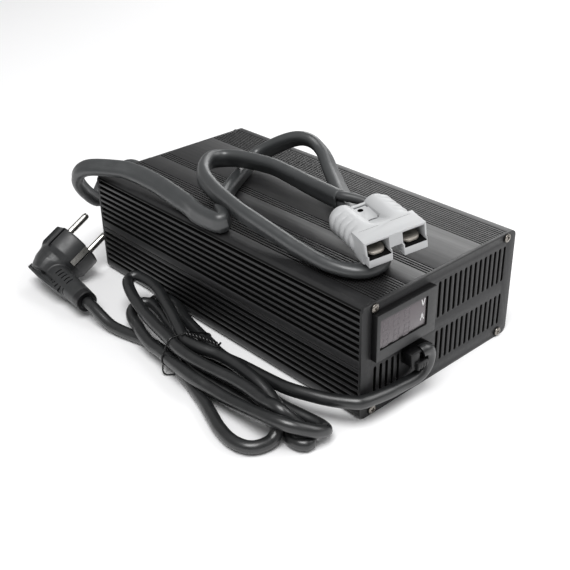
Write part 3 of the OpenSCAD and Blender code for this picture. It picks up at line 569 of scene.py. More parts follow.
LEADM = shader("lead_jacket", rgb("353738"), 0.40, spec=0.95, var=((40, 0.12, None), (900, 0.08, None)), rvar=(140, 0.07, None),
               bumps=((1700, 0.22, 0.00005, None), (240, 0.12, 0.0001, None)), dust=0.012)
WIREM = shader("conductor_jacket", rgb("3b3c3d"), 0.42, var=((80, 0.12, None),), rvar=(200, 0.05, None), bumps=((1800, 0.2, 0.00004, None),))
BUSH = shader("bushing", rgb("050506"), 0.36, spec=0.38, var=((120, 0.2, None),), rvar=(500, 0.06, None), bumps=((3000, 0.3, 0.00003, None),), wear_and_highlight=(0.0003, rgb("4b4b4b"), 0.4, 0.35))
TIE = shader("tie", rgb("0c0c0d"), 0.24, spec=0.55, coat=0.2, var=((200, 0.2, None),), rvar=(500, 0.06, None), bumps=((1600, 0.25, 0.00004, None),))
PLUGM = shader("plug_plastic", rgb("2b2c2d"), 0.40, spec=0.5, var=((60, 0.08, None), (1600, 0.06, None)), rvar=(260, 0.06, None),
               bumps=((3600, 0.35, 0.00003, None), (700, 0.1, 0.00004, None)), wear_and_highlight=(0.0004, rgb("6c6d6f"), 0.42, 0.35), dust=0.03)
PLUG_DARK_SHADE = shader("plug_dark_and_slot_shade", rgb("141416"), 0.42, var=((120, 0.12, None),), rvar=(300, 0.05, None), bumps=((3000, 0.3, 0.00003, None),))
CONN = shader("connector_plastic", rgb("b6b7b8"), 0.42, spec=0.45, var=((35, 0.025, None), (1600, 0.02, None)), rvar=(300, 0.06, None),
              bumps=((3400, 0.3, 0.00003, None), (500, 0.08, 0.00004, None)), wear_and_highlight=(0.0004, rgb("dcdde0"), 0.38, 0.4), dust=0.02)
# darker grey for the strips at the recess ends: painted shade lines
CONN_SHADE_LINE = shader("connector_shade_line", rgb("58595b"), 0.6, spec=0.3, var=((200, 0.05, None),), rvar=(400, 0.05, None), bumps=((3000, 0.3, 0.00003, None),))
# near-black for sockets, bores and the screw hole: painted shade
CONN_SHADE = shader("connector_painted_shade", rgb("040404"), 0.7, spec=0.12, var=((200, 0.1, None),), rvar=(400, 0.05, None), bumps=((3000, 0.3, 0.00003, None),))
# the bright front edge of the blades is partly wear and partly painted highlight
CONTACT = shader("contact", rgb("b9b3aa"), 0.45, metal=0.5, var=((300, 0.06, None),), rvar=(700, 0.06, None),
                 bumps=((2200, 0.18, 0.00003, None),), wear_and_highlight=(0.0003, rgb("f4ecdf"), 0.25, 0.9))
SPRING = shader("spring", rgb("b9b8b4"), 0.25, metal=1.0, var=((500, 0.1, None),))
COPPER = shader("copper_strands", rgb("b06a3c"), 0.35, metal=1.0, var=((900, 0.2, None),))
DISPLAY = shader("display", rgb("4b4449"), 0.5, var=((150, 0.1, None),))
BOARD = shader("board", rgb("1f4f2a"), 0.42, coat=0.3, var=((120, 0.15, None), (900, 0.15, None)), speck=(700, 0.6, rgb("c9b26a")), bumps=((1400, 0.3, 0.00005, None),))
SHEET = shader("sheet", rgb("d9d3b5"), 0.6, var=((80, 0.06, None),), bumps=((1200, 0.2, 0.00004, None),))
GLASSC = shader("glass_ceramic", rgb("cfc9b8"), 0.3, coat=0.3, var=((300, 0.08, None),))
FERRITE = shader("ferrite", rgb("2f3031"), 0.55, var=((500, 0.15, None),), bumps=((1600, 0.35, 0.00006, None),), wear_and_highlight=(0.0004, rgb("4a4a4a"), 0.6, 0.4))
WINDING = shader("winding", rgb("b5672f"), 0.3, metal=0.6, coat=0.3, var=((900, 0.2, (1, 0.1, 1)),), bumps=((1100, 0.6, 0.0002, (1, 0.05, 1)),))
FILM = shader("film", rgb("cfa62b"), 0.4, var=((100, 0.08, None),), bumps=((900, 0.15, 0.00005, None),))
EPOXY = shader("epoxy", rgb("1d1d1e"), 0.5, var=((300, 0.15, None),), bumps=((2600, 0.3, 0.00003, None),))
CAN = shader("can_sleeve", rgb("20264c"), 0.35, coat=0.3, var=((90, 0.12, None),), bumps=((900, 0.12, 0.00004, None),))
BARE = shader("bare_aluminium", rgb("b9babc"), 0.35, metal=1.0, var=((900, 0.1, (0.05, 1, 1)),), rvar=(700, 0.08, (0.05, 1, 1)), bumps=((2600, 0.3, 0.00003, (0.05, 1, 1)),))
TAPE = shader("tape", rgb("c9a83a"), 0.35, coat=0.2, var=((120, 0.1, None),), bumps=((500, 0.25, 0.0001, (1, 1, 0.1)),))
RELAY = shader("relay", rgb("274a97"), 0.38, var=((120, 0.08, None),), bumps=((2600, 0.2, 0.00003, None),))
REDM = shader("lead_red", rgb("7c1512"), 0.42, var=((120, 0.12, None),), bumps=((1500, 0.2, 0.00005, None),))
FANM = shader("fan_plastic", rgb("1b1b1c"), 0.42, var=((160, 0.15, None),), rvar=(300, 0.06, None), bumps=((2600, 0.3, 0.00003, None),))
STEEL = shader("steel", rgb("9a9a9a"), 0.3, metal=1.0, var=((600, 0.1, None),))
BLACKS = shader("screw_black", rgb("232323"), 0.32, metal=0.7, var=((600, 0.15, None),))

def give(ob, *mats):
    ob.data.materials.clear()
    for m in mats:
        ob.data.materials.append(m)
    return ob

def node_object(name):
    got = NODES[name] if not isinstance(NODES, list) else None
    if isinstance(got, bpy.types.Object):
        return got
    return bpy.data.objects.get(name)

CAD_MATS = dict(meter_display=DISPLAY, meter_board=BOARD, main_board=BOARD, insulating_sheet=SHEET, fuse=GLASSC, emi_choke_core=FERRITE,
                emi_choke_winding=WINDING, filter_capacitors=FILM, bridge_rectifier=EPOXY, bulk_capacitors=CAN, primary_heatsink=BARE,
                primary_transistors=EPOXY, transformer_core=FERRITE, transformer_winding=TAPE, output_choke_core=FERRITE,
                output_choke_winding=WINDING, output_heatsink=BARE, output_diodes=EPOXY, output_capacitors=CAN, relay=RELAY,
                control_board=BOARD, mains_inner_lead=CORD, output_inner_lead=REDM, fan_frame=FANM, fan_rotor=FANM, fan_shaft=STEEL,
                fan_screws=BLACKS, connector_springs=SPRING, plug_earth_clips=PIN)
for n, m in CAD_MATS.items():
    ob = node_object(n)
    for s in ob.material_slots:
        s.material = m
    if not ob.material_slots:
        ob.data.materials.append(m)

def piece(ob, mats, body=CASE, nodes=()):
    give(ob, *(mats if isinstance(mats, (list, tuple)) else [mats]))
    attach(ob, body)
    if nodes:
        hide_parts(*nodes)
    return ob

# ------------------------------------------------------------------ case shells
W2, IN, TOP, SEAM, YF, YR = 66.0, 61.2, 71.0, 33.0, -121.5, 121.5
UP = [65.9 - 3.97 * k for k in range(8)]
LO = [27.6 - 4.1 * k for k in range(6)]
FINE = [-30.4 - 2.14 * k for k in range(12)] + [-13.4 + 2.13 * k for k in range(4)] + [35.2 + 2.06 * k for k in range(12)]

def out_x(z):
    if z > TOP - 4:
        return W2 - 4 + math.sqrt(max(0, 16 - (z - TOP + 4) ** 2))
    if z < 4:
        return W2 - 4 + math.sqrt(max(0, 16 - (4 - z) ** 2))
    return W2

def side(zs, d=2.6):
    """one side's fins, going up; each point has the radius of its rounding"""
    p = []
    for z in sorted(zs):
        a, b = z, z + 2.3
        p += [((out_x(a), a), 0.28), ((W2 - d, a), 0.35), ((W2 - d, b), 0.35), ((out_x(b), b), 0.28)]
    return p

def shell_upper():
    p = [((W2, SEAM + 0.25), 0.2)] + side(UP)
    a0 = math.degrees(math.asin((UP[0] + 2.3 - (TOP - 4)) / 4)) + 6
    p += [(q, 0) for q in arc(W2 - 4, TOP - 4, 4, a0, 90, 8)]
    right = p
    top = []
    for x in sorted(FINE, reverse=True):
        top += [((x + 0.42, TOP), 0.12), ((x + 0.36, TOP - 0.8), 0.1), ((x - 0.36, TOP - 0.8), 0.1), ((x - 0.42, TOP), 0.12)]
    left = [((-q[0], q[1]), r) for q, r in reversed(right)]
    inner = [((-W2 + 1.6, SEAM + 0.25), 0.1), ((-IN, SEAM + 0.25), 0), ((-IN, TOP - 2.2), 0.6), ((IN, TOP - 2.2), 0.6), ((IN, SEAM + 0.25), 0), ((W2 - 1.6, SEAM + 0.25), 0.1)]
    allp = right + top + left + inner
    return filleted([q for q, r in allp], [r for q, r in allp], 2)

def shell_lower():
    low = [(q, 0) for q in arc(W2 - 4, 4, 4, -90, 0, 8)]
    p = low + side(LO) + [((W2, SEAM - 0.45), 0.2), ((W2 - 0.6, SEAM - 0.3), 0), ((W2 - 0.6, SEAM), 0)]
    left = [((-q[0], q[1]), r) for q, r in reversed(p)]
    inner = [((-IN, SEAM), 0), ((-IN, 2.2), 0.6), ((IN, 2.2), 0.6), ((IN, SEAM), 0)]
    # right side up, then the inside, then the left side down
    allp = p + [((IN, SEAM), 0), ((IN, 2.2), 0.6), ((-IN, 2.2), 0.6), ((-IN, SEAM), 0)] + left
    return filleted([q for q, r in allp], [r for q, r in allp], 2)

up = piece(extrude_y("upper_shell_fins", shell_upper(), YF, YR, 25), [ANOD, SLOT_GROOVE_SHADE], nodes=["upper_shell"])
lo_ = piece(extrude_y("lower_shell_fins", shell_lower(), YF, YR, 25), [ANOD, SLOT_GROOVE_SHADE], nodes=["lower_shell"])
# the faces inside the side fin grooves and the top grooves take the near-black material: painted shade
for o_ in (up, lo_):
    groove_shade_faces = []
    for pl in o_.data.polygons:
        cx, cz = abs(pl.center.x) * 1000, pl.center.z * 1000
        groove_shade_faces.append(1 if abs(pl.normal.y) < 0.5 and (63.2 < cx < 65.62 and 2.5 < cz < TOP - 1.5 or cx < 62 and TOP - 0.86 < cz < TOP - 0.1) else 0)
    o_.data.polygons.foreach_set("material_index", groove_shade_faces)

# ------------------------------------------------------------------ end panels
outer = rrect(0, TOP / 2, 132, TOP, 4, 8)
SX0 = 56.2 - 4.58 * 13
holes = [slot2d(SX0 + 4.58 * k, a, b, 2.15) for k in range(14) for a, b in ((39.1, 62.6), (9.1, 30.6))] + [slot2d(-55 + 4.75 * k, 9.1, 30.6, 2.15) for k in range(5)]
holes.append(rrect(-35, 50.85, 45.4, 26.4, 0.5, 2))
holes.append(arc(-25.5, 26.5, 7, 0, 352, 30))
holes += [arc(s * 57, z, 1.7, 0, 345, 15) for s in (-1, 1) for z in (3.6, 68.1)]
fp = piece(plate("front_panel_sheet", outer, holes, -123.5, -121.5, 0.22), [PANEL, SLOT_GROOVE_SHADE], nodes=["front_panel"])
# the walls of the slots and holes take the near-black material: painted shade
fp.data.polygons.foreach_set("material_index", [1 if abs(pl.normal.y) < 0.3 and abs(pl.center.x) < 0.0635 and 0.0025 < pl.center.z < 0.0695 else 0 for pl in fp.data.polygons])
holes = [slot2d(25 + 4.8 * k, 35.5 - math.sqrt(27 ** 2 - (4.8 * k) ** 2), 35.5 + math.sqrt(27 ** 2 - (4.8 * k) ** 2), 2.8) for k in range(-5, 6)]
holes += [slot2d(-55 + 4.75 * k, 9.1, 36, 1.9) for k in range(8)] + [arc(-20, 57, 7.5, 0, 352, 30)]
holes += [arc(25 + 25 * a, 35.5 + 25 * b, 2.15, 0, 345, 15) for a in (-1, 1) for b in (-1, 1)]
holes += [arc(s * 57, z, 1.7, 0, 345, 15) for s in (-1, 1) for z in (3.6, 68.1)]
rp = piece(plate("rear_panel_sheet", outer, holes, 121.5, 123.5, 0.22), PANEL, nodes=["rear_panel"])

# ------------------------------------------------------------------ screws
def lathe_y(name, prof, n=40, angle=30):
    """prof holds (y, radius) from one end to the other"""
    rings = [[(r * math.cos(2 * math.pi * k / n), y, r * math.sin(2 * math.pi * k / n)) for k in range(n)] for y, r in prof]
    return loft(name, rings, True, angle)

def screw_mesh(name, turn):
    head = lathe_y(name, [(12, 1.2), (12.0, 1.45), (0.02, 1.45), (-0.32, 2.5), (-0.42, 2.66), (-0.62, 2.7), (-0.95, 2.58), (-1.2, 2.2), (-1.38, 1.5), (-1.43, 0.7), (-1.44, 0.05)])
    cuts = []
    for a in (0, 90):
        c = loft("cut", [[(sx * w, y, sz * t) for sx, sz in ((-1, -1), (1, -1), (1, 1), (-1, 1))] for y, w, t in ((-2.2, 1.95, 0.5), (-0.1, 1.0, 0.3))])
        c.data.transform(Matrix.Rotation(math.radians(a + turn), 4, "Y"))
        cuts.append(c)
    cuts.append(lathe_y("cone", [(-2.0, 1.0), (-0.45, 0.55), (-0.2, 0.1)], 20))
    boolean(head, cuts)
    for f in head.data.polygons:
        f.material_index = 0
    smooth(head, 32)
    # toothed washer below the head; its near-black colour is painted shade, the dark ring round each head
    n = 72
    rings = [[((r + (0.16 if k % 4 < 2 else 0.0) * (1 if r > 2.7 else 0)) * math.cos(2 * math.pi * k / n), y, (r + (0.16 if k % 4 < 2 else 0.0) * (1 if r > 2.7 else 0)) * math.sin(2 * math.pi * k / n)) for k in range(n)]
             for y, r in ((0.0, 1.5), (0.0, 2.95), (-0.1, 3.05), (-0.34, 3.02), (-0.36, 2.2), (-0.3, 1.5))]
    was = loft("washer_shade", rings, False, 30)
    return head, was

def screw_set(name, y, back, spec, mats, nodes):
    heads = []
    for x, z, t in spec:
        for k, h in enumerate(screw_mesh("s", t)):
            give(h, mats[k])
            m = Matrix.Translation((x * 0.001, y * 0.001, z * 0.001))
            h.data.transform(m @ Matrix.Rotation(math.pi, 4, "Z") if back else m)
            heads.append(h)
    o = join(heads, name)
    smooth(o, 32)
    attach(o, CASE)
    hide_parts(*nodes)
    return o
fs = screw_set("front_screw_set", -123.5, False, [(-57, 3.6, 10), (57, 3.6, 35), (-57, 68.1, 22), (57, 68.1, 58)], (NICKEL, WASHER_SHADE), ["front_screws"])
rs = screw_set("rear_screw_set", 123.5, True, [(-57, 3.6, 5), (57, 3.6, 50), (-57, 68.1, 72), (57, 68.1, 18)], (NICKEL, WASHER_SHADE), ["rear_screws"])

# ------------------------------------------------------------------ panel meter
MX, MZ, MF = -35.0, 50.85, -127.7
WX, WZ = MX - 2.4, MZ + 1.6
def prism(name, loop, y0, y1, bev=0.0, angle=30):
    o = extrude_y(name, loop, y0, y1, angle)
    return bevel(o, bev, 2) if bev else o
bz = prism("meter_frame", rrect(MX, MZ, 48, 29, 0.9, 4), MF, -123.5, 0.45)
b2 = prism("b2", rrect(MX, MZ, 45, 26, 0.3, 2), -123.6, -108.5)
boolean(bz, [b2], "UNION")
boolean(bz, [prism("c1", rrect(WX, WZ, 38, 18.4, 0.6, 3), MF - 1, MF + 1.4), prism("c2", rrect(WX, WZ, 36.6, 17, 0.3, 2), MF - 1, -124.5),
             prism("c3", rrect(MX, MZ, 42, 23, 0.3, 2), -124.51, -107.5)])
smooth(bz, 30)
me = bz.data
give(bz, BEZEL, BEZEL_FRONT_LIT)
# the front faces get a lighter copy of the bezel black: painted light, as the front catches the light while the top and
# sides stay black
for f in me.polygons:
    if f.normal.y < -0.8 and f.center.y < (MF + 0.8) * 0.001:
        f.material_index = 1
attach(bz, CASE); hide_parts("meter_bezel")

# window: a tinted sheet, with a near-black sheet behind it that shows at its right and lower edge as painted shade of
# the recess walls, and the marks for volts and amperes
win = prism("w", rrect(WX - 0.5, WZ + 0.4, 36.4, 16.9, 0.5, 3), MF + 0.55, MF + 1.35, 0.12)
give(win, WINDOW)
shade_border = prism("wb", rrect(WX, WZ, 37.9, 18.3, 0.6, 3), MF + 0.8, MF + 1.38)
give(shade_border, WIN_SHADE_EDGE)
def stroke(pts, w, y0, y1):
    parts = []
    for a, b in zip(pts[:-1], pts[1:]):
        a, b = np.array(a, float), np.array(b, float)
        t = (b - a) / np.linalg.norm(b - a)
        nrm = np.array([-t[1], t[0]]) * w / 2
        e = t * w * 0.35
        loop = [tuple(a - nrm - e), tuple(b - nrm + e), tuple(b + nrm + e), tuple(a + nrm - e)]
        parts.append(extrude_y("st", loop, y0, y1))
    return parts
def mark(shape, cx, cz, h, w):
    out = []
    for pts in shape:
        out += stroke([(cx + x * h, cz + z * h) for x, z in pts], w, MF + 0.48, MF + 0.62)
    return out
V = [[(-0.32, 0.5), (0, -0.5), (0.32, 0.5)]]
A = [[(-0.32, -0.5), (0, 0.5), (0.32, -0.5)], [(-0.2, -0.15), (0.2, -0.15)]]
LETTERS = [(V, -21.9, 58.5), (A, -22.3, 50.0)]
marks = []
for sh, cx, cz in LETTERS:
    marks += mark(sh, cx, cz, 3.9, 0.6)
letters = give(join(marks, "marks"), PRINT)
segs = []
for cx, cz, h, w in [(-51.5 + 8.3 * k, 56.6, 6.6, 3.9) for k in range(3)] + [(-51.5 + 8.3 * k, 47.6, 6.6, 3.9) for k in range(3)]:
    t = 0.75
    for x0, z0, x1, z1 in ((-w / 2, h / 2, w / 2, h / 2), (-w / 2, 0, w / 2, 0), (-w / 2, -h / 2, w / 2, -h / 2), (-w / 2, 0.5, -w / 2, h / 2 - 0.5),
                           (w / 2, 0.5, w / 2, h / 2 - 0.5), (-w / 2, -h / 2 + 0.5, -w / 2, -0.5), (w / 2, -h / 2 + 0.5, w / 2, -0.5)):
        sl = 0.12
        segs += stroke([(cx + x0 + sl * z0, cz + z0), (cx + x1 + sl * z1, cz + z1)], t, MF + 0.51, MF + 0.60)
segs = give(join(segs, "digits"), SEGMENT)
wn = join([win, shade_border, letters, segs], "meter_window_sheet")
smooth(wn, 30)
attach(wn, CASE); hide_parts("meter_window")

# ------------------------------------------------------------------ cord bushings
bl = prism("mains_bushing_block", [(-34.5, 31.8), (-16.4, 31.8), (-15.4, 29), (-15.4, 24), (-18, 21), (-30, 21), (-33.6, 23.3)], -131.5, -123.5, 0.6)
boolean(bl, [box_ob("c", (-21.3, -132.5, 20), (-13.3, -126.2, 30.6)), box_ob("c", (-27.5, -132.5, 24.8), (-18, -126.2, 30.6))])
bl = bevel(bl, 0.35, 2)
jaw = prism("jaw", [(-31, 21.2), (-22, 21.2), (-21.3, 24), (-24, 25.8), (-30.5, 25.4)], -133.5, -124.5, 0.5)
ribs = [prism("rib", [(-30.4 + 2.2 * k, 20.9), (-29.5 + 2.2 * k, 20.9), (-29.5 + 2.2 * k, 23.5), (-30.4 + 2.2 * k, 23.5)], -133.7, -126, 0.2) for k in range(4)]
neckp = cyl("n", (-25.5, -123.6, 26.5), (-25.5, -118.6, 26.5), 6.9)
flange = prism("fl", rrect(-25.5, 26.5, 17, 13, 2), -121.5, -118.5)
mb = join([bl, jaw, neckp, flange] + ribs, "mains_bushing_set")
smooth(mb, 30)
piece(mb, BUSH, nodes=["mains_bushing"])
oc = [(-30.5, 53), (-26, 47.5), (-14, 47.5), (-9.5, 53), (-9.5, 61), (-14, 66.5), (-26, 66.5), (-30.5, 61)]
ob1 = prism("output_bushing_set", oc, 123.5, 134, 0.9)
boolean(ob1, [cyl("c", (-20, 130, 57), (-20, 135, 57), 5.6, 6.6, 36)])
ob1 = bevel(ob1, 0.3, 2)
ob2 = cyl("o2", (-20, 118.5, 57), (-20, 123.6, 57), 7.4)
ob3 = prism("o3", rrect(-20, 57, 18, 14, 2), 118.5, 121.5)
gro = [prism("og", [(-20 + 10.6 * sx, 55), (-20 + 10.9 * sx, 55), (-20 + 10.9 * sx, 59), (-20 + 10.6 * sx, 59)], 125 + 2.2 * k, 126 + 2.2 * k) for sx in (-1, 1) for k in range(3)]
for g in gro:
    bpy.data.objects.remove(g)
obs = join([ob1, ob2, ob3], "output_bushing_set")
smooth(obs, 30)
piece(obs, BUSH, nodes=["output_bushing"])
# ------------------------------------------------------------------ mains plug, in its own frame: face at y = 0, pins towards +Y, neck towards +Z
PLUG_AT, PLUG_ROT, NECK = (-83.7, 129.5, 23.2), (57, 55, -38), Vector((0.28, -0.10, 0.95))

def remeshed(ob, voxel, smooth_n=2):
    m = ob.modifiers.new("r", "REMESH")
    m.mode = "VOXEL"
    m.voxel_size = voxel * 0.001
    m.use_smooth_shade = True
    if smooth_n:
        s = ob.modifiers.new("s", "SMOOTH")
        s.factor = 0.5
        s.iterations = smooth_n
    return baked(ob, angle=60)

disc = lathe_y("plug_disc", [(-18.6, 15.6), (-18.2, 16.5), (-15.2, 18.1), (-14.5, 18.3), (-1.2, 18.3), (-0.4, 18.0), (0, 17.3), (0.0, 0.05)], 96)
def ring_at(c, ax, rx, rz, n=32, tilt=0.0, sq=2.3):
    """one ring of a loft: a squarish oval about c, square to ax"""
    ax = Vector(ax).normalized()
    a = Vector((1, 0, 0)) - ax * ax.x
    a.normalize()
    b = ax.cross(a)
    out = []
    for k in range(n):
        t = 2 * math.pi * k / n
        ct, st = math.cos(t), math.sin(t)
        d = (abs(ct) ** sq + abs(st) ** sq) ** (-1 / sq)
        p = Vector(c) + a * (rx * ct * d) + b * (rz * st * d)
        out.append(tuple(p))
    return out
body = loft("b", [ring_at((0, -17.5, 0), (0, -1, 0), 16.3, 16.3, sq=2), ring_at((-0.5, -21.5, 1), (0, -1, 0), 15.4, 14.8, sq=2), ring_at((-1.5, -25, 2.2), (0, -1, 0.1), 14.0, 12.6, sq=2.4),
                  ring_at((-2, -29, 3.5), (0, -1, 0.15), 12.2, 10.4, sq=2.8), ring_at((-2, -33, 4.5), (0, -1, 0.15), 10.6, 8.6, sq=3)])
nd = NECK.normalized()
base = Vector((0, -26, 0))
neck = loft("n", [ring_at(tuple(base - nd * 8), nd, 9.2, 8.6), ring_at(tuple(base + nd * 6), nd, 9.6, 8.4), ring_at(tuple(base + nd * 18), nd, 8.9, 8.0),
                  ring_at(tuple(base + nd * 30), nd, 8.2, 7.8), ring_at(tuple(base + nd * 42), nd, 7.7, 7.4), ring_at(tuple(base + nd * 51), nd, 7.2, 7.1)])
# the flat plate along the back of the neck, with its small tab
na = Vector((1, 0, 0)) - nd * nd.x
na.normalize()
nb = nd.cross(na)
back = Vector((0, -1, 0)) - nd * (-nd.y)
back.normalize()
def plate(st, d0, d1, xa, xb):
    c = base + nd * st
    return [tuple(c + back * d + na * x) for d, x in ((d0, xa), (d1, xa), (d1, xb), (d0, xb))]
rim = loft("rim", [plate(-11, 5.5, 9.2, -8.5, 3.0), plate(-8, 6, 9.6, -9.5, 4.0), plate(6, 6.5, 9.9, -10.2, 5.0), plate(18, 6, 9.5, -9.2, 6.0), plate(27, 5.5, 8.9, -7.6, 6.0), plate(33, 5, 7.9, -6, 5)])
tab = loft("tab", [plate(-13.5, 7.6, 9.2, -5.5, 1.5), plate(-9, 6.5, 9.4, -6.5, 2.0)])
for o_ in (rim, tab):
    fix_normals(o_)
boolean(disc, [body, neck, rim, tab], "UNION")
disc = remeshed(disc, 0.5, 2)
cuts = []
for s in (-1, 1):
    cuts.append(box_ob("c", (s * 2.6 - 2.7, -16.5, s * 17.2 - 2.4), (s * 2.6 + 2.7, 8, s * 17.2 + 2.4)))
    cuts.append(box_ob("c", (s * 18.1 - 2.5, -17.6, -7), (s * 18.1 + 2.5, 2, 7)))
    gv = box_ob("c", (-1.2, -16.8, -0.85), (1.6, 1.5, 0.85))
    gv.data.transform(Matrix.Translation(Vector((-s * 16.1, 0, s * 8.5)) * 0.001) @ Matrix.Rotation(math.radians(-153 if s > 0 else 27), 4, "Y"))
    cuts.append(gv)
cuts.append(cyl("c", (0, -13, 7), (0, 1, 7), 2.5))
# a groove that sets the plate off from the neck
g0 = loft("c", [plate(st, d - 0.35, d + 0.35, xa, xb) for st, d, xa, xb in ((-8, 7.6, -14, -8.4), (6, 7.9, -14, -8.9), (18, 7.6, -14, -8.1), (29, 7.0, -13, -6.9))])
fix_normals(g0)
cuts.append(g0)
# rows of grip slots across the neck
slots = []
for row in (165, 227):
    for k in range(5):
        c = base + nd * (20.0 + 4.1 * k)
        u = na * math.cos(math.radians(row)) + nb * math.sin(math.radians(row))
        w = nd.cross(u)
        o = box_ob("c", (-2.5, -0.6, -1.9), (2.5, 0.6, 1.9))
        o.data.transform(Matrix.Translation((c + u * 8.3) * 0.001) @ Matrix(((w.x, nd.x, u.x, 0), (w.y, nd.y, u.y, 0), (w.z, nd.z, u.z, 0), (0, 0, 0, 1))))
        cuts.append(o)
        slots.append((c + u * 8.3, w, nd, u))
boolean(disc, cuts)
give(disc, PLUGM, PLUG_DARK_SHADE)
# faces in the grip slots, the side grooves and the rim notches take the darker plastic as painted shade
slot_shade = []
for pl in disc.data.polygons:
    q = pl.center * 1000
    hit = any(abs((q - c).dot(w)) < 2.56 and abs((q - c).dot(n)) < 0.64 and abs((q - c).dot(u)) < 2.0 for c, w, n, u in slots)
    for s in (-1, 1):
        g = Vector((-s * 16.1, q.y, s * 8.5))
        hit = hit or ((q - g).length < 1.75 and -17 < q.y < 1 and math.hypot(q.x, q.z) < 18.2)
        hit = hit or (abs(q.x - s * 2.6) < 2.75 and 14.7 < s * q.z < 17.9 and -16.6 < q.y < 0.5)
    slot_shade.append(1 if hit else 0)
disc.data.polygons.foreach_set("material_index", slot_shade)
ringo = loft("endring", [ring_at(tuple(base + nd * 50.5), nd, 7.15, 7.05), ring_at(tuple(base + nd * 55.8), nd, 6.9, 6.8), ring_at(tuple(base + nd * 56.2), nd, 6.4, 6.3), ring_at(tuple(base + nd * 55), nd, 4.6, 4.5)])
give(ringo, PLUG_DARK_SHADE)
pb = join([disc, ringo], "plug_moulding")
smooth(pb, 40)
place(pb, PLUG_AT, PLUG_ROT)
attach(pb, CASE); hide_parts("plug_body")
pins = []
for s in (-1, 1):
    p = lathe_y("p", [(-3, 2.4), (16.9, 2.4), (18.2, 2.1), (18.8, 1.6), (19, 1.0), (19, 0.05)], 32)
    p.data.transform(Matrix.Translation((s * 0.0095, 0, 0)))
    pins.append(p)
pp = join(pins, "plug_pin_pair")
smooth(pp, 30)
place(pp, PLUG_AT, PLUG_ROT)
piece(pp, PIN, nodes=["plug_pins"])

# ------------------------------------------------------------------ battery connector, in its own frame: mouth towards +Y
CON_AT, CON_ROT = (-14, -71, 85.3), (-2, 9, 160)
def rounded_ring(cx, cz, rx, rz, y, corner, n=48):
    """an oval that turns from a circle (corner 1) into a rounded rectangle (corner near 0)"""
    out = []
    for k in range(n):
        t = 2 * math.pi * (k + 0.5) / n
        ct, st = math.cos(t), math.sin(t)
        q = 2 / max(corner, 0.12)
        d = (abs(ct) ** q + abs(st) ** q) ** (-1 / q)
        out.append((cx + rx * ct * d, y, cz + rz * st * d))
    return out
parts = []
for s in (-1, 1):
    # a wire barrel that grows out of the front body and slopes down to its rounded end
    rings = [rounded_ring(s * 10.3, 6.3, 6.4, 6.2, -0.6, 1), rounded_ring(s * 10.3, 6.35, 7.2, 7.0, -0.3, 1), rounded_ring(s * 10.3, 6.4, 7.7, 7.5, 0.4, 1),
             rounded_ring(s * 10.3, 6.5, 7.95, 7.8, 1.6, 1), rounded_ring(s * 10.3, 6.8, 8.0, 7.85, 8, 1), rounded_ring(s * 10.2, 7.4, 8.05, 7.9, 20, 0.98),
             rounded_ring(s * 10.1, 7.75, 8.1, 7.95, 27, 0.9), rounded_ring(s * 9.7, 7.9, 8.5, 7.9, 31.5, 0.45), rounded_ring(s * 9.5, 7.9, 8.7, 7.8, 34, 0.2)]
    parts.append(loft("barrel", rings))
    # finger ribs: five scallops round the outer flank, each a soft saw tooth
    rings = []
    for k in range(5):
        y0 = 2.4 + 6.05 * k
        for dy, dr in ((0.0, -0.55), (0.35, 0.25), (1.0, 0.85), (2.2, 1.25), (3.9, 1.35), (4.9, 1.05), (5.6, 0.3), (5.95, -0.5)):
            rings.append((y0 + dy, dr))
    rr_ = []
    for y, dr in rings:
        zc = 6.4 + 1.4 * min(1, y / 27)
        rad = 8.0 + dr
        pts = []
        for k in range(72):
            t = 2 * math.pi * k / 72
            ct, st = math.cos(t), math.sin(t)
            # ribs stand out on the flank and below it, and fade towards the top
            fade = max(0.0, min(1.0, 0.55 + 1.0 * ct * s - 0.6 * st))
            q = 8.0 + dr * fade - 0.12 * (1 - fade)
            pts.append((s * 10.3 + q * ct, y, max(0.35, zc + 0.985 * q * st)))
        rr_.append(pts)
    rib = loft("rib", rr_, angle=24)
    parts.append(rib)
hood = box_ob("hood", (-18.3, 31.0, 0.3), (18.3, 42.0, 15.6), 0.45, 2)
tongue = box_ob("tongue", (-18.3, 40.5, 7.2), (18.3, 46, 15.6), 0.3, 2)
lips = [box_ob("lip", (3.4 if s > 0 else -17.6, 40, 0.8), (17.6 if s > 0 else -3.4, 47.6, 7.6), 0.35, 2) for s in (-1, 1)]
web = box_ob("web", (-6, 2.2, 1.5), (6, 33, 11.0))
step1 = loft("step1", [[(-4.6, y, 4), (4.6, y, 4), (4.6, y, z), (-4.6, y, z)] for y, z in ((0.9, 10.2), (1.05, 11.2), (1.3, 11.5), (2.2, 11.5), (2.5, 11.2), (2.6, 9.0))])
step2 = loft("step2", [[(-10.0, y, 4), (10.0, y, 4), (10.0, y, z - 0.25), (9.4, y, z), (-9.4, y, z), (-10.0, y, z - 0.25)] for y, z in ((20.1, 9.0), (20.2, 10.7), (20.5, 11.05), (25, 12.9), (29.5, 15.0), (31.5, 15.45), (33, 15.5))])
cheek = [loft("cheek", [[(s * a, y, 1.2), (s * (a + b), y, 1.2), (s * (a + b), y, z), (s * a, y, z)] for y, a, b, z in ((26.0, 12.0, 4.6, 10.5), (29.0, 12.0, 5.8, 13.5), (31.6, 12.0, 6.28, 15.45), (34, 12.0, 6.28, 15.5))]) for s in (-1, 1)]
for c_ in cheek + [step1, step2]:
    fix_normals(c_)
shellc = parts[0]
boolean(shellc, parts[1:] + [hood, tongue, web, step1, step2] + cheek + lips, "UNION")
cuts = []
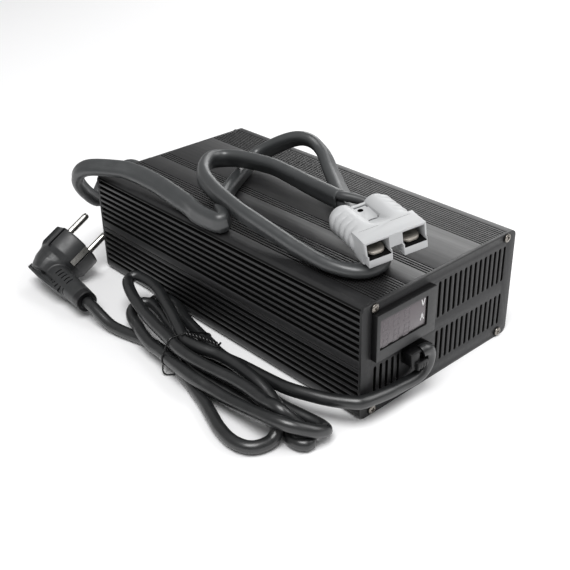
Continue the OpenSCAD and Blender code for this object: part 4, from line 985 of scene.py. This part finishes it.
for s in (-1, 1):
    cuts.append(box_ob("c", (s * 10.6 - 6.6, 31.5, 5.4), (s * 10.6 + 6.6, 50, 14.4), 0.25, 2))
    cuts.append(box_ob("c", (s * 10.4 - 5.2, 20, 5.7), (s * 10.4 + 5.2, 33, 9.7)))
    cuts.append(cyl("c", (s * 10.2, -1.5, 6.9), (s * 10.2, 23.5, 7.5), 5.3, 5.3, 40))
cuts.append(box_ob("c", (-3.4, 36, -1), (3.4, 50, 7.8)))
cuts.append(cyl("c", (1.0, 6.6, -1), (1.0, 6.6, 19), 1.75, 1.75, 28))
# the recess between the barrels, and at both its ends thin raised strips whose dark grey is painted shade along the
# step edges
cuts.append(box_ob("c", (-4.4, 2.75, 10.45), (4.4, 20.35, 20)))
boolean(shellc, cuts)
shade_strips = []
for pts in ([(-4.0, 5.3), (-4.0, 3.5), (-3.4, 2.95), (-2.0, 3.15), (0, 3.3), (2.0, 3.15), (3.4, 2.95), (4.0, 3.5), (4.0, 5.3)],
            [(-4.0, 17.6), (-4.0, 19.3), (-3.4, 19.9), (-2.0, 19.2), (0, 19.0), (2.0, 19.2), (3.4, 19.9), (4.0, 19.3), (4.0, 17.6)]):
    st = []
    for i, (x, y) in enumerate(pts):
        a_, b_ = pts[max(0, i - 1)], pts[min(len(pts) - 1, i + 1)]
        d_ = Vector((b_[0] - a_[0], b_[1] - a_[1])).normalized()
        nx, ny = -d_.y * 0.32, d_.x * 0.32
        st.append([(x - nx, y - ny, 10.2), (x + nx, y + ny, 10.2), (x + nx, y + ny, 10.7), (x - nx, y - ny, 10.7)])
    st = loft("line", st)
    fix_normals(st)
    shade_strips.append(st)
shellc.name = "housing_body"
m = shellc.modifiers.new("v", "BEVEL")
m.width = 0.00022
m.segments = 2
m.limit_method = "ANGLE"
m.angle_limit = math.radians(42)
baked(shellc, angle=38)
n_house = len(shellc.data.polygons)
shellc = join([shellc] + shade_strips, "connector_housing")
# the faces deep in the sockets, in the bores and in the screw hole take the near-black material as painted shade, and
# the strips take the grey of the painted shade lines
shade_index = []
for pl in shellc.data.polygons:
    cx, cy, cz = (c_ * 1000 for c_ in pl.center)
    in_sock = abs(abs(cx) - 10.6) < 6.65 and 30.5 < cy < 41 and (5.0 < cz < 14.45 if cy < 33 else cz < 8.5 or abs(cx) < 11)
    in_slot = abs(abs(cx) - 10.4) < 5.3 and 19.5 < cy < 33.5 and 5.5 < cz < 9.9
    in_hole = math.hypot(cx - 1.0, cy - 6.6) < 1.8 and -0.5 < cz < 10.35
    on_shade_strip = abs(cx) < 4.5 and 10.1 < cz < 10.8 and (2.6 < cy < 5.6 or 17.3 < cy < 20.3)
    shade_index.append(2 if on_shade_strip and pl.index >= n_house else 1 if in_sock or in_slot or in_hole else 0)
place(shellc, CON_AT, CON_ROT)
piece(shellc, [CONN, CONN_SHADE, CONN_SHADE_LINE], nodes=["connector_shell"])
shellc.data.polygons.foreach_set("material_index", shade_index)
cts = []
for s in (-1, 1):
    x = s * 10.4
    rows = []
    for y in (20.2, 28, 34, 38, 39.6, 41, 42.2, 43.2, 44.0, 44.5, 44.8):
        hw = 5.0 * (1 if y <= 39.6 else (max(0.002, 1 - ((y - 39.6) / 5.23) ** 3.2)) ** 0.36)
        zt = 8.6 - 0.03 * max(0, y - 38.5) ** 2
        rows.append([(x - hw, y, zt - 1.6), (x + hw, y, zt - 1.6), (x + hw, y, zt), (x - hw, y, zt)])
    b = loft("blade", rows)
    b = bevel(b, 0.3, 3, 40)
    cts += [b, cyl("cr", (s * 10.2, 10.2, 7.6), (s * 10.2, 22.2, 7.6), 4.2)]
ct = join(cts, "connector_blades")
smooth(ct, 35)
place(ct, CON_AT, CON_ROT)
piece(ct, CONTACT, nodes=["connector_contacts"])

# two conductors from the jacket's end into the barrels
cond = []
for i, pts in enumerate(([[-13.3, -54.5, 91.1], [-13.8, -56.9, 90.9], [-14.6, -59, 90.6], [-18, -63, 90.2], [-22.6, -66.4, 90], [-25.2, -70.5, 90], [-27, -75, 90.1]],
                         [[-14.4, -54, 96.3], [-14.2, -56.5, 96.5], [-13.4, -59.5, 96.6], [-10.5, -65, 96], [-7.5, -70, 94.6], [-6.4, -75.5, 93.6], [-8, -81, 93.3]])):
    c = cord_curve("c%d" % i, spline(pts, 8), 5.8, 6)
    cond.append(to_mesh(c))
cn = join(cond, "lead_conductors")
smooth(cn, 40)
piece(cn, WIREM, nodes=["output_conductors"])

# ------------------------------------------------------------------ twist tie round the hank
def hull2(pts):
    pts = sorted(set((round(float(a), 4), round(float(b), 4)) for a, b in pts))
    def half(ps):
        h = []
        for p in ps:
            while len(h) > 1 and (h[-1][0] - h[-2][0]) * (p[1] - h[-2][1]) - (h[-1][1] - h[-2][1]) * (p[0] - h[-2][0]) <= 0:
                h.pop()
            h.append(p)
        return h
    return half(pts)[:-1] + half(pts[::-1])[:-1]
TY = -12.1
cross = []
for a, b in zip(mains_line[:-1], mains_line[1:]):
    if (a[1] - TY) * (b[1] - TY) <= 0 and a[1] != b[1]:
        u = (TY - a[1]) / (b[1] - a[1])
        p = a + u * (b - a)
        cross.append((p[0], max(p[2], 3.75)))
print("STRANDS AT TIE", [(round(a, 1), round(b, 1)) for a, b in cross])
pts = [(x + 4.1 * math.cos(t), z + 4.1 * math.sin(t)) for x, z in cross for t in np.linspace(0, 2 * math.pi, 25)[:-1]]
h = hull2(pts)
h = [(x, max(z, 0.35)) for x, z in h]
hc = np.array(h + [h[0]])
s = np.concatenate([[0], np.cumsum(np.linalg.norm(np.diff(hc, axis=0), axis=1))])
loopn = 96
t = np.linspace(0, s[-1], loopn + 1)[:-1]
hx, hz = np.interp(t, s, hc[:, 0]), np.interp(t, s, hc[:, 1])
def wire(name, path, r, n=10, closed=False):
    c = np.array(path, float)
    if closed:
        tg = np.roll(c, -1, 0) - np.roll(c, 1, 0)
    else:
        tg = frames(c)
    tg /= np.linalg.norm(tg, axis=1)[:, None]
    ref = np.array([0.0, 1.0, 0.0]) if closed else np.array([0.3, 0.2, 1.0])
    v, f = [], []
    for i in range(len(c)):
        u = ref - (ref @ tg[i]) * tg[i]
        u /= np.linalg.norm(u)
        w = np.cross(tg[i], u)
        v += [c[i] + r * (math.cos(a) * u + math.sin(a) * w) for a in np.linspace(0, 2 * math.pi, n + 1)[:-1]]
    m = len(c)
    for i in range(m if closed else m - 1):
        j = (i + 1) % m
        f += [(i * n + k, i * n + (k + 1) % n, j * n + (k + 1) % n, j * n + k) for k in range(n)]
    if not closed:
        f += [tuple(range(n))[::-1], tuple((m - 1) * n + k for k in range(n))]
    ob = mesh_ob(name, v, f, angle=60)
    fix_normals(ob)
    smooth(ob, 60)
    return ob
tie = wire("tie_band", [(hx[k], TY - 1.3 * math.exp(-((hx[k] + 100) / 5) ** 2), max(hz[k], 0.6)) for k in range(loopn)], 0.55, closed=True)
hook = wire("tie_hook", spline([[-116.2, -12.4, 6.5], [-117.2, -13.2, 3.2], [-116.6, -14.6, 1.2], [-114.2, -16.6, 0.7], [-111.6, -18.6, 0.6]], 8), 0.5)
tw = [hook]
base_t, end_t = np.array([-99.6, -13.0, 21.6]), np.array([-92.4, -37.4, 20.9])
dir_t = (end_t - base_t) / np.linalg.norm(end_t - base_t)
tl_ = float(np.linalg.norm(end_t - base_t))
sa = np.cross(dir_t, (0, 0, 1)); sa /= np.linalg.norm(sa)
sb = np.cross(dir_t, sa)
for ph in (0, math.pi):
    path = []
    for k in range(110):
        u = k / 109
        ang = ph + u * 2 * math.pi * 5.2
        rr_ = 0.68 * min(1, u * 9 + 0.15) * (1.0 if u < 0.88 else 1.0 + (u - 0.88) * 9)
        path.append(base_t + dir_t * (tl_ * u) + rr_ * (math.cos(ang) * sa + math.sin(ang) * sb) + np.array([0, 0, 0.9 * math.sin(math.pi * u)]))
    tw.append(wire("t%d" % len(tw), path, 0.62, 10))
tt = join([tie] + tw, "hank_tie")
smooth(tt, 40)
piece(tt, TIE, nodes=["twist_tie"])

# ------------------------------------------------------------------ cords: their materials, fixed to the case, the CAD cords hidden
give(mains, CORD)
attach(mains, CASE)
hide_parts("mains_cord", "mains_cord_hank", "mains_cord_loop", "mains_cord_end")
give(lead, LEADM)
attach(lead, CASE)
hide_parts("output_lead")

# ------------------------------------------------------------------ floor and light
bpy.context.scene.view_settings.view_transform = "Standard"
fl = mesh_ob("floor", [(-9000, -9000, -0.02), (9000, -9000, -0.02), (9000, 9000, -0.02), (-9000, 9000, -0.02)], [(0, 1, 2, 3)])
fm = bpy.data.materials.new("floor")
fm.use_nodes = True
fb = fm.node_tree.nodes["Principled BSDF"]
fb.inputs["Base Color"].default_value = (0.93, 0.93, 0.935, 1)
fb.inputs["Roughness"].default_value = 0.7
fb.inputs["Specular IOR Level"].default_value = 0.2
give(fl, fm)
world = bpy.data.worlds.new("world")
world.use_nodes = True
world.node_tree.nodes["Background"].inputs[0].default_value = (1, 1, 1, 1)
world.node_tree.nodes["Background"].inputs[1].default_value = 0.32
bpy.context.scene.world = world
def area(name, loc, target, size, power, size_y=None):
    li = bpy.data.lights.new(name, "AREA")
    li.shape = "RECTANGLE"
    li.size = size
    li.size_y = size_y or size
    li.energy = power
    ob = link(bpy.data.objects.new(name, li))
    d = (Vector(target) - Vector(loc)).normalized()
    ob.location = loc
    ob.rotation_euler = d.to_track_quat("-Z", "Y").to_euler()
    return ob
area("key", (-0.60, -0.45, 1.7), (0, 0, 0.03), 1.1, 29)
area("fill", (0.9, -0.7, 1.1), (0, 0, 0.03), 1.0, 9)
area("sheen", (1.18, 0.68, 0.70), (0, -0.02, 0.07), 0.8, 6)

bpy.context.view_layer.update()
